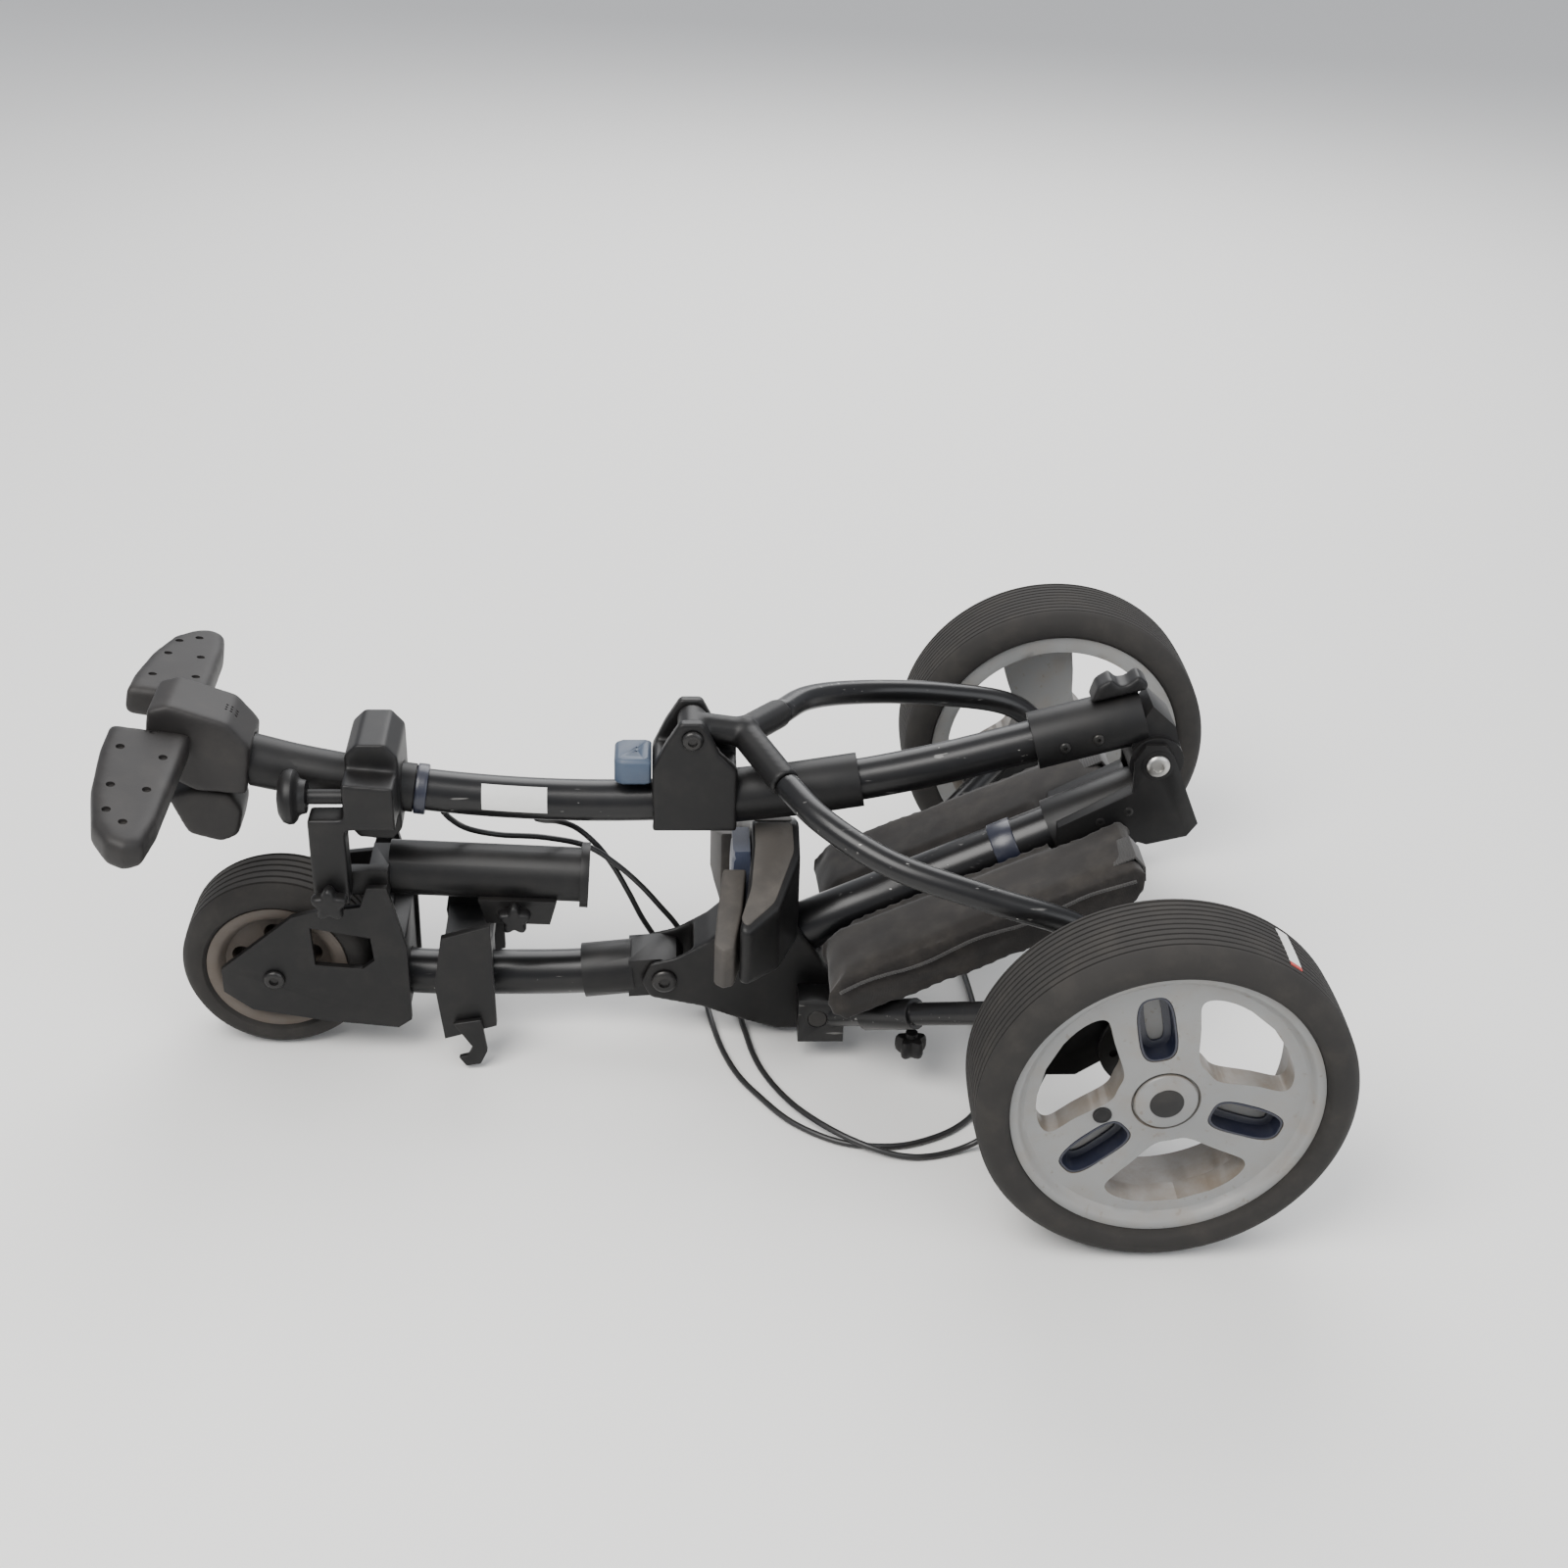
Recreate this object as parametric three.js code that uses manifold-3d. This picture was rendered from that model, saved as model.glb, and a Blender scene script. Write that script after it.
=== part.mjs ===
// Folding three-wheel golf trolley with an accessory pouch, in its folded state.
// Millimetres, +Z up, X along the trolley from the handle (-) to the rear wheels (+).
// Inside the trolley group X = 0 is the rear axle, Y = 0 the middle plane and Z = 0 the ground.
import * as THREE from 'three';
import { mergeVertices } from 'three/addons/utils/BufferGeometryUtils.js';
import Module from 'manifold-3d';

const wasm = await Module();
wasm.setup();

// ---------- driving dimensions ----------
const GAP = 0.4; // space between touching pieces
const MIDDLE_X = -325.9; // middle of the overall length, measured from the rear axle
const REAR_R = 140;
const REAR_HALF = 40;
const REAR_TRACK = 266; // middle plane of the trolley to the middle plane of a rear wheel
const RIM_R = 115;
const AXLE_Z = REAR_R;
const AXLE_R = 6;
const FRONT_R = 78.4;
const FRONT_HALF = 34;
const FRONT_X = -680;
const FRONT_RIM_R = 58;

const FOLD = [31, 270]; // main fold pin, X and Z
const LEG_PIVOT = [-362, 60]; // front leg pivot
const YOKE_PIVOT = [-340, 290]; // rear leg yoke pivot on the slider
const STRUT_PIVOT = [-235, 45]; // lower strut pivot
const MAIN_R = 21;
const MAIN_START = [-243, 99];
const MAIN_SLOPE = 0.4728;
const SHAFT_R = 17;
const SHAFT_ARC = { x: -408, z: 1281, r: 1060 }; // the upper shaft bends round this centre
const SHAFT_STRAIGHT_X = -110; // from here to the fold the shaft is straight
const LEG_R = 10.5;
const STRUT_R = 9.5;
const FRONT_LEG_R = 19;
const CABLE_R = 2.5;

// ---------- materials ----------
const finish = (color, roughness, metalness = 0) =>
  new THREE.MeshStandardMaterial({ color, roughness, metalness });
const frameBlack = finish(0x1b1c1e, 0.45, 0.3);
const plasticBlack = finish(0x232426, 0.6);
const gripGrey = finish(0x3c3a38, 0.75);
const padBrown = finish(0x4a4440, 0.85);
const tyreGrey = finish(0x37332f, 0.9);
const rimGrey = finish(0xa5a39e, 0.55);
const navy = finish(0x27304a, 0.5);
const slateBlue = finish(0x56647c, 0.55);
const fabric = finish(0x34302e, 0.95);
const steel = finish(0x8a8a88, 0.35, 0.9);

/** X and Z outline of the upper knuckle's horn round the fold bolt. */
const HORN = [[10, 290], [24, 318], [44, 300], [50, 280], [30, 256], [12, 262]];

// ---------- geometry helpers ----------
const v3 = (x, y, z) => new THREE.Vector3(x, y, z);

/** Merges shared corners and turns the faces outwards. */
function closed(geometry) {
  const bare = geometry.index ? geometry.toNonIndexed() : geometry.clone();
  for (const name of Object.keys(bare.attributes)) {
    if (name !== 'position') bare.deleteAttribute(name);
  }
  bare.clearGroups();
  const merged = mergeVertices(bare, 1e-4);
  const place = merged.attributes.position;
  const corners = [];
  let volume = 0;
  for (let i = 0; i < merged.index.count; i += 3) {
    const [a, b, c] = [0, 1, 2].map((k) => merged.index.getX(i + k));
    if (a === b || b === c || a === c) continue;
    corners.push(a, b, c);
    const [p, q, r] = [a, b, c].map((k) => v3().fromBufferAttribute(place, k));
    volume += p.dot(q.cross(r));
  }
  if (volume < 0) {
    for (let i = 0; i < corners.length; i += 3) {
      [corners[i + 1], corners[i + 2]] = [corners[i + 2], corners[i + 1]];
    }
  }
  merged.setIndex(corners);
  return merged;
}

const toSolid = (geometry) => {
  const g = closed(geometry);
  return new wasm.Manifold(new wasm.Mesh({
    numProp: 3,
    vertProperties: new Float32Array(g.attributes.position.array),
    triVerts: new Uint32Array(g.index.array),
  }));
};

const fromSolid = (solid) => {
  const mesh = solid.getMesh();
  const g = new THREE.BufferGeometry();
  g.setAttribute('position', new THREE.BufferAttribute(new Float32Array(mesh.vertProperties), 3));
  g.setIndex(Array.from(mesh.triVerts));
  return g;
};

/** One body from overlapping shapes. */
const join = (...shapes) => fromSolid(shapes.map(toSolid).reduce((a, b) => a.add(b)));

/** The first shape without the others. */
const cut = (base, ...tools) => fromSolid(tools.map(toSolid).reduce((a, b) => a.subtract(b), toSolid(base)));

/** Round bar between two points. */
function rod(a, b, radius, sides = 20, endRadius = radius) {
  const [from, to] = [v3(...a), v3(...b)];
  const g = new THREE.CylinderGeometry(endRadius, radius, from.distanceTo(to), sides);
  const turn = new THREE.Quaternion().setFromUnitVectors(v3(0, 1, 0), to.clone().sub(from).normalize());
  g.applyQuaternion(turn);
  const middle = from.add(to).multiplyScalar(0.5);
  return g.translate(middle.x, middle.y, middle.z);
}

/** Round bar across the trolley, at X and Z of a point. */
const across = ([x, z], radius, y0, y1, sides = 20) => rod([x, y0, z], [x, y1, z], radius, sides);

/** Box from its lowest and highest corners. */
function box([x0, y0, z0], [x1, y1, z1]) {
  const g = new THREE.BoxGeometry(x1 - x0, y1 - y0, z1 - z0);
  return g.translate((x0 + x1) / 2, (y0 + y1) / 2, (z0 + z1) / 2);
}

/** Side outline of X and Z points, as thick as y0 to y1. */
function slab(outline, y0, y1, holes = []) {
  const shape = new THREE.Shape(outline.map(([x, z]) => new THREE.Vector2(x, z)));
  for (const hole of holes) shape.holes.push(new THREE.Path(hole.map(([x, z]) => new THREE.Vector2(x, z))));
  const g = new THREE.ExtrudeGeometry(shape, { depth: y1 - y0, bevelEnabled: false });
  return g.rotateX(Math.PI / 2).translate(0, y1, 0);
}

/** Plan outline of X and Y points, as high as z0 to z1, with softened rims. */
function plan(outline, z0, z1, soft = 0) {
  const shape = new THREE.Shape(outline.map(([x, y]) => new THREE.Vector2(x, y)));
  const g = new THREE.ExtrudeGeometry(shape, {
    depth: z1 - z0 - 2 * soft,
    bevelEnabled: soft > 0,
    bevelThickness: soft,
    bevelSize: soft,
    bevelOffset: -soft,
    bevelSegments: 2,
  });
  return g.translate(0, 0, z0 + soft);
}

/** Ring or disc turned round the Y direction: profile of radius and Y, closed on itself. */
function turned(profile, sides, [x, y, z], mirror = 1) {
  const points = profile.map(([r, w]) => new THREE.Vector2(r, w * mirror));
  points.push(points[0].clone());
  return new THREE.LatheGeometry(points, sides).translate(x, y, z);
}

const circle = (radius, sides) => {
  const shape = new THREE.Shape();
  shape.moveTo(radius, 0);
  for (let i = 1; i < sides; i++) {
    const a = (i * 2 * Math.PI) / sides;
    shape.lineTo(radius * Math.cos(a), radius * Math.sin(a));
  }
  return shape;
};

/** Round tube along a curve, hollow where a bore is given. */
function pipe(curve, radius, sides, steps, bore = 0) {
  const shape = circle(radius, sides);
  if (bore > 0) shape.holes.push(circle(bore, sides));
  return new THREE.ExtrudeGeometry(shape, { extrudePath: curve, steps, bevelEnabled: false });
}

const smooth = (points) => new THREE.CatmullRomCurve3(points.map((p) => v3(...p)), false, 'centripetal');
const mirrored = (points, side) => points.map(([x, y, z]) => [x, y * side, z]);

/** Bolt across the trolley with a head at each end. */
const bolt = ([x, z], radius, half, headRadius, head = 4) => join(
  across([x, z], radius, -half, half, 16),
  across([x, z], headRadius, -half - head, -half, 12),
  across([x, z], headRadius, half, half + head, 12),
);

// ---------- centrelines ----------
const mainZ = (x) => MAIN_START[1] + (x - MAIN_START[0]) * MAIN_SLOPE;
const mainPoint = (x, y = 0) => [x, y, mainZ(x)];
const arcZ = (x) => SHAFT_ARC.z - Math.sqrt(SHAFT_ARC.r ** 2 - (x - SHAFT_ARC.x) ** 2);
const straightSlope = (SHAFT_STRAIGHT_X - SHAFT_ARC.x) / (SHAFT_ARC.z - arcZ(SHAFT_STRAIGHT_X));
const shaftZ = (x) => (x < SHAFT_STRAIGHT_X ? arcZ(x) : arcZ(SHAFT_STRAIGHT_X) + (x - SHAFT_STRAIGHT_X) * straightSlope);
const shaftPoint = (x, y = 0) => [x, y, shaftZ(x)];

/** Curve along the upper shaft between two X places. */
class ShaftCurve extends THREE.Curve {
  constructor(x0, x1) {
    super();
    this.x0 = x0;
    this.x1 = x1;
  }

  getPoint(t, target = v3()) {
    const x = this.x0 + (this.x1 - this.x0) * t;
    return target.set(x, 0, shaftZ(x));
  }
}

const trolley = new THREE.Group();
trolley.position.x = -MIDDLE_X;

/** Adds one named piece. */
function piece(name, geometry, material) {
  const mesh = new THREE.Mesh(closed(geometry), material);
  mesh.name = name;
  trolley.add(mesh);
}

const sides = [['near', -1], ['far', 1]];

// ---------- lower frame ----------
function lowerFrame() {
  piece('main_tube', rod(mainPoint(-322), mainPoint(20), MAIN_R, 24), frameBlack);

  const cheek = [[14, 246], [12, 272], [20, 288], [36, 288], [44, 277], [70, 216], [62, 204], [30, 196], [4, 204]];
  const knuckle = join(
    rod(mainPoint(-44), mainPoint(36), 25.5, 24),
    slab(cheek, -28.6, -24.3),
    slab(cheek, 24.3, 28.6),
    slab([[-44, 176], [4, 204], [14, 244], [-44, 212]], -28.6, 28.6),
    across([44, 207], 5, -26, 26, 12),
  );
  const room = join(across(FOLD, 23, -24.2, 24.2, 28), box([34, -24.2, 212], [90, 24.2, 300]));
  piece('lower_knuckle', cut(
    knuckle,
    room,
    ...unfolded(),
    rod(mainPoint(-66), mainPoint(20.5), MAIN_R + GAP, 24),
    across(FOLD, 5.4, -40, 40, 16),
  ), plasticBlack);
  piece('fold_bolt', bolt(FOLD, 5, 29, 9.5), steel);

  const casting = [
    [-382, 58], [-374, 42], [-330, 32], [-306, 22], [-268, 9], [-228, 10], [-212, 26], [-210, 58],
    [-226, 72], [-240, 96], [-256, 117.4], [-306, 117.4], [-326, 98], [-352, 82], [-374, 76],
  ];
  piece('hub_casting', cut(
    slab(casting, -25, 25),
    rod(mainPoint(-322.6), mainPoint(-150), MAIN_R + GAP, 24),
    across(STRUT_PIVOT, 8.6, -40, 40, 20),
    box([-400, -19.9, 20], [-338, 19.9, 110]),
    across(LEG_PIVOT, 6.4, -40, 40, 16),
  ), plasticBlack);
  piece('leg_pivot_bolt', bolt(LEG_PIVOT, 6, 25.5, 10.5), steel);

  cradle();
  pouch();
}

/** Where the horn of the upper knuckle comes down as the shaft unfolds, with a little room round it. */
function unfolded() {
  const outline = HORN.map(([x, z]) => [FOLD[0] + (x - FOLD[0]) * 1.04, FOLD[1] + (z - FOLD[1]) * 1.04]);
  const horn = closed(slab(outline, -19.6, 19.6));
  const turns = [2.3, 2.38, 2.46, 2.54, 2.62, 2.7, 2.78, 2.86, 2.945];
  return turns.map((turn) => horn.clone().translate(-FOLD[0], 0, -FOLD[1]).rotateY(turn)
    .translate(FOLD[0], 0, FOLD[1]));
}

/** Saddle at the hub that the bottom of a golf bag leans on. */
function cradle() {
  const shell = [
    [-303, -92], [-296, -60], [-291, -20], [-291, 20], [-296, 60], [-303, 92],
    [-296, 96], [-270, 74], [-252, 30], [-252, -30], [-270, -74], [-296, -96],
  ];
  const overCasting = box([-400, -25.4, 90], [-200, 25.4, 117.8]);
  piece('cradle_shell', cut(plan(shell, 104, 200), overCasting, roof(1, 202), roof(-1, 202)), plasticBlack);
  for (const [name, side] of sides) {
    const pad = [[-314, 27], [-319, 62], [-322, 90], [-315, 96], [-306, 92.5], [-299, 62], [-295, 27]];
    const block = plan(pad.map(([x, y]) => [x - 0.5, y * side]), 100, 178, 4);
    piece(`cradle_pad_${name}`, cut(block, roof(side, 186)), padBrown);
  }
  piece('cradle_elastic', box([-308, -20, 118], [-291.6, 20, 184]), navy);
}

/** Block over a slope that falls away from the mid-plane on one side. */
function roof(side, height) {
  const g = new THREE.BoxGeometry(140, 160, 80).translate(0, 80 * side, 40);
  return g.rotateX(-0.46 * side).translate(-280, 0, height);
}

/** Flat accessory pouch that hangs on both sides of the main tube. */
function pouch() {
  const lid = (x) => mainZ(x) + 7;
  const floor = (x) => mainZ(x) - 40;
  const outline = [
    [-232, floor(-232) + 16], [-216, floor(-216)], [0, floor(0)], [16, floor(16) + 14],
    [18, lid(18) - 14], [6, lid(6)], [-222, lid(-222)], [-234, lid(-234) - 12],
  ];
  piece('accessory_pouch', cut(
    slab(outline, -108, 108),
    rod(mainPoint(-330), mainPoint(-46), MAIN_R + 1.5, 24),
    rod(mainPoint(-47), mainPoint(80), 31, 24),
    box([-260, -26.5, 0], [-208, 26.5, 200]),
    box([-48, -30, 168], [60, 30, 260]),
  ), fabric);
}

// ---------- front leg, fork and front wheel ----------
function frontLeg() {
  const line = smooth([[-596, 0, 57], [-560, 0, 53.5], [-500, 0, 52.5], [-430, 0, 53.5], [-392, 0, 58]]);
  piece('front_leg_tube', pipe(line, FRONT_LEG_R, 16, 8), frameBlack);
  piece('front_leg_socket', cut(
    join(
      rod([-430, 0, 54], [-388, 0, 58.4], 23, 24),
      slab([[-392, 40], [-362, 42], [-350, 50], [-346, 62], [-352, 74], [-366, 78], [-392, 76]], -19.4, 19.4),
    ),
    pipe(smooth([[-450, 0, 53], [-430, 0, 53.5], [-391.5, 0, 58.05]]), FRONT_LEG_R + GAP, 16, 4),
    across(LEG_PIVOT, 6.4, -40, 40, 16),
  ), plasticBlack);

  const plate = [
    [-722, 88], [-722, 66], [-700, 48], [-640, 36], [-582, 29], [-571, 37], [-571, 108],
    [-584, 166], [-600, 166], [-606, 148], [-640, 144], [-662, 138],
  ];
  const window = [[-648, 128], [-600, 118], [-598, 96], [-608, 88], [-646, 92]];
  for (const [name, side] of sides) {
    const [y0, y1] = side < 0 ? [-46.5, -40.5] : [40.5, 46.5];
    piece(`fork_plate_${name}`, cut(
      slab(plate, y0, y1, [window]),
      across([FRONT_X, FRONT_R], 5.4, -60, 60, 16),
    ), plasticBlack);
  }
  piece('fork_bridge', cut(
    slab([[-597, 34], [-574, 34], [-574, 106], [-588, 112], [-597, 104]], -40.1, 40.1),
    rod([-620, 0, 59.4], [-560, 0, 53.5], FRONT_LEG_R + GAP + 0.4, 20),
  ), plasticBlack);
  piece('front_axle', bolt([FRONT_X, FRONT_R], 5, 47, 8.5), steel);

  piece('strap_bracket', cut(
    join(
      slab([[-546, 40], [-506, 40], [-506, 84], [-546, 84]], -23, 23),
      slab([[-546, 74], [-506, 74], [-506, 86], [-546, 86]], -58, 58),
      slab([[-543, 27], [-500, 40], [-502, 138], [-542, 126], [-549, 80]], -60, -53),
      slab([[-543, 27], [-500, 40], [-502, 138], [-542, 126], [-549, 80]], 53, 60),
    ),
    rod([-580, 0, 52.5], [-480, 0, 52.5], FRONT_LEG_R + 1, 20),
  ), padBrown);
  piece('strap_hook', slab([[-535, 46], [-512, 50], [-508, 18], [-514, 5], [-526, 3], [-532, 12], [-524, 14],
    [-520, 22]], -66, -60.4), plasticBlack);
}

function frontWheel() {
  const centre = [FRONT_X, 0, FRONT_R];
  const w = FRONT_HALF;
  piece('front_rim', turned([
    [5.4, -w + 4], [14, -w + 4], [16, -w + 10], [44, -w + 12], [50, -w + 3], [FRONT_RIM_R - GAP, -w + 3],
    [FRONT_RIM_R - GAP, w - 3], [50, w - 3], [44, w - 12], [16, w - 10], [14, w - 4], [5.4, w - 4],
  ], 24, centre), rimGrey);
  piece('front_tyre', turned([
    [FRONT_RIM_R, -w + 4], [66, -w], [74, -w + 5], [FRONT_R, -w + 16], [FRONT_R, w - 16], [74, w - 5],
    [66, w], [FRONT_RIM_R, w - 4],
  ], 32, centre), tyreGrey);
}

// ---------- upper shaft with its fold knuckle ----------
function upperShaft() {
  piece('upper_tube', pipe(new ShaftCurve(-640, -20), SHAFT_R, 16, 16), frameBlack);
  piece('upper_knuckle', cut(
    join(
      rod(shaftPoint(-66), shaftPoint(20), 23.4, 24),
      across(FOLD, 22, -23.7, 23.7, 28),
      slab(HORN, -19, 19),
    ),
    rod(shaftPoint(-80), shaftPoint(-19.5), SHAFT_R + GAP, 24),
    across(FOLD, 5.4, -40, 40, 16),
  ), plasticBlack);
  piece('shaft_latch', slab([
    [-24, 316], [-20, 330], [-10, 337], [-3, 331], [3, 332], [12, 340], [20, 334], [20, 328],
  ], -11, 11), plasticBlack);
}

// ---------- handle with its umbrella holder ----------
function handle() {
  piece('handle_stem', pipe(new ShaftCurve(-704, -562), 20, 16, 5, SHAFT_R + 0.9), plasticBlack);
  piece('handle_console', cut(
    slab([[-768, 268], [-760, 316], [-744, 320], [-700, 304], [-684, 282], [-690, 240], [-730, 244]], -27, 27),
    pipe(new ShaftCurve(-704.5, -640), 20 + GAP, 16, 3),
  ), gripGrey);
  for (const [name, side] of sides) {
    const wing = [
      [-790, 27.5], [-791, 60], [-787, 110], [-778, 152], [-764, 172], [-750, 178], [-738, 170],
      [-733, 140], [-731, 100], [-730, 60], [-728, 27.5],
    ];
    const slanted = plan(wing.map(([x, y]) => [x, y * side]), -13, 13, 6);
    slanted.translate(760, 0, 0).rotateY(0.16).rotateX(-0.1 * side).translate(-760, 0, 294);
    piece(`grip_${name}`, cut(slanted, box([-830, -27.4, 200], [-690, 27.4, 380])), gripGrey);
  }
  piece('brake_lever', slab([[-756, 236], [-742, 200], [-716, 192], [-702, 198], [-696, 222], [-706, 238], [-732, 242]],
    -20, 20), plasticBlack);

  piece('accessory_clamp', cut(
    join(
      slab([[-612, 214], [-604, 204], [-578, 202], [-570, 212], [-570, 276], [-580, 288], [-602, 288], [-612, 278]],
        -31, 31),
      slab([[-612, 226], [-572, 226], [-572, 264], [-612, 268]], -58, -20),
      box([-640, -58, 158], [-611.5, -34, 236]),
      box([-640, -58, 226], [-590, -34, 236]),
    ),
    pipe(new ShaftCurve(-660, -540), 20 + GAP, 16, 5),
  ), plasticBlack);
  piece('clamp_knob', join(
    rod([-640, -46, 251], [-612.5, -46, 251], 6, 16),
    rod([-652, -46, 251], [-640, -46, 251], 17, 24, 13),
    rod([-662, -46, 251], [-652, -46, 251], 21, 24, 22),
  ), plasticBlack);

  piece('umbrella_holder', cut(
    join(
      rod([-586, 0, 158], [-430, 0, 149.5], 22.5, 28),
      rod([-431, 0, 149.6], [-424, 0, 149.2], 27, 28),
      box([-600, -33.6, 150], [-584, 14, 172]),
      box([-640, -33.6, 152], [-584, -22, 174]),
      slab([[-508, 118], [-456, 116], [-450, 138], [-514, 140]], -24, 12),
    ),
    rod([-572, 0, 157.3], [-400, 0, 147.9], 18.5, 24),
  ), navy);
  piece('umbrella_knob', join(
    across([-484, 130], 5, -30, -24.4, 12),
    across([-484, 130], 14, -42, -30, 20),
  ), plasticBlack);
  piece('post_knob', join(
    across([-626, 166], 5, -62, -58.4, 12),
    across([-626, 166], 15, -74, -62, 20),
  ), plasticBlack);
}

// ---------- slider with the rear leg yoke ----------
function slider() {
  piece('slider_sleeve', pipe(new ShaftCurve(-358, -204), 22.3, 16, 6, SHAFT_R + 2.2), plasticBlack);
  const body = [[-372, 206], [-372, 262], [-362, 284], [-350, 304], [-332, 304], [-318, 276], [-304, 262], [-304, 206]];
  piece('slider_housing', cut(
    slab(body, -25, 25),
    pipe(new ShaftCurve(-420, -260), 22.3 + GAP, 16, 6),
    slab([[-380, 268], [-380, 320], [-290, 320], [-290, 256], [-322, 256], [-340, 268]], -15.4, 15.4),
    across(YOKE_PIVOT, 5.4, -40, 40, 16),
  ), plasticBlack);
  piece('release_button', plan([[-402, -15], [-402, 15], [-396, 19], [-372.6, 19], [-372.6, -19], [-396, -19]],
    245, 268, 3), slateBlue);
  piece('yoke_pin', bolt(YOKE_PIVOT, 5, 25.5, 8.5), steel);

  const [px, pz] = YOKE_PIVOT;
  const arms = sides.map(([, side]) => rod([-299, 0, 284], [-268, 58 * side, 270], LEG_R + 2, 12));
  piece('leg_yoke', cut(
    join(
      across(YOKE_PIVOT, 12, -15, 15, 20),
      rod([px, 0, pz], [-299, 0, 284], 12, 12),
      new THREE.SphereGeometry(14, 12, 8).translate(-299, 0, 284),
      ...arms,
    ),
    across(YOKE_PIVOT, 5.4, -40, 40, 16),
  ), plasticBlack);
  for (const [name, side] of sides) {
    const route = mirrored([[-267.4, 59.2, 269.7], [-242, 100, 262], [-191, 140, 247], [-118, 165, 232], [-52, 177, 214],
      [-22, 181, 186], [-6, 182, 152]], side);
    piece(`rear_leg_${name}`, join(
      pipe(smooth(route), LEG_R, 12, 12),
      across([0, AXLE_Z], 15, 176 * side, 197 * side, 24),
    ), frameBlack);
  }
}

// ---------- rear struts, brakes and wheels ----------
function struts() {
  piece('strut_cross_tube', across(STRUT_PIVOT, 8, -60, 60, 16), steel);
  for (const [name, side] of sides) {
    const [sx, sz] = STRUT_PIVOT;
    piece(`strut_${name}`, cut(
      join(
        rod([-226, 50 * side, 42], [-46, 203 * side, 156], STRUT_R, 16),
        box([sx - 16, side < 0 ? -60 : 36, 22], [sx + 22, side < 0 ? -36 : 60, 64]),
        rod([-196, 75.5 * side, 61], [-160, 106 * side, 84], 13, 16),
      ),
      across(STRUT_PIVOT, 8 + GAP, -80, 80, 16),
      box([-120, side < 0 ? -260 : 199.6, 60], [40, side < 0 ? -199.6 : 260, 240]),
    ), frameBlack);
    const carrier = [
      [-68, 150], [-60, 166], [-38, 168], [8, 156], [18, 140], [8, 125], [-30, 118], [-50, 104], [-82, 104], [-86, 120],
    ];
    const [y0, y1] = side < 0 ? [-213, -200] : [200, 213];
    piece(`axle_carrier_${name}`, join(
      slab(carrier, y0, y1),
      across([0, AXLE_Z], AXLE_R, 205 * side, 288 * side, 16),
      across([-28, 140], 6, 205 * side, 221 * side, 12),
    ), plasticBlack);
  }
  piece('strut_knob', join(
    rod([-160, -92, 55], [-160, -92, 50], 5, 12),
    rod([-160, -92, 50], [-160, -92, 34], 13.5, 20),
  ), plasticBlack);
}

/** Brake cables: out of the upper shaft, behind the hub, along the ground and up to the brakes. */
function cables() {
  const toFarBrake = [
    [-541, 0, 210.6], [-536, 6, 200], [-524, 20, 182], [-500, 30, 170], [-462, 32, 166], [-426, 32, 157],
    [-402, 32, 139], [-382, 32.4, 118], [-366, 32.8, 97], [-351, 33, 76], [-338, 33, 48], [-330, 29, 22],
    [-326, 20, 8], [-323, 4, 3.6],
    [-314, -42, 3], [-301, -80, 3], [-284, -109, 3], [-263, -138, 3], [-242, -156, 3], [-220, -168, 3],
    [-194, -173, 3], [-172, -172, 3], [-151, -165, 3], [-130, -153, 3], [-110, -132, 3], [-98, -100, 3],
    [-92, -50, 3], [-92, 20, 3], [-96, 90, 3], [-98, 145, 5], [-92, 182, 22], [-80, 202, 60], [-73, 206.5, 101.6],
  ];
  const toNearBrake = [
    [-466, 0, 203.6], [-461, 10, 196], [-450, 28, 184], [-436, 38, 172], [-420, 40, 155], [-406, 40, 134],
    [-392, 40, 105], [-379, 40, 76], [-356, 40, 40], [-326, 38, 15], [-302, 24, 5], [-294, -16, 3.2], [-286, -57, 3],
    [-275, -88, 3.4], [-258, -122, 6], [-240, -147, 8.4], [-219, -167, 8.8], [-200, -178, 7], [-180, -184.5, 4],
    [-160, -186.5, 3], [-138, -182, 3], [-116, -176, 8], [-98, -178, 26], [-82, -194, 60], [-73, -206.5, 101.6],
  ];
  piece('cable_far', pipe(smooth(toFarBrake), CABLE_R, 8, 52), plasticBlack);
  piece('cable_near', pipe(smooth(toNearBrake), CABLE_R, 8, 46), plasticBlack);
}

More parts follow.
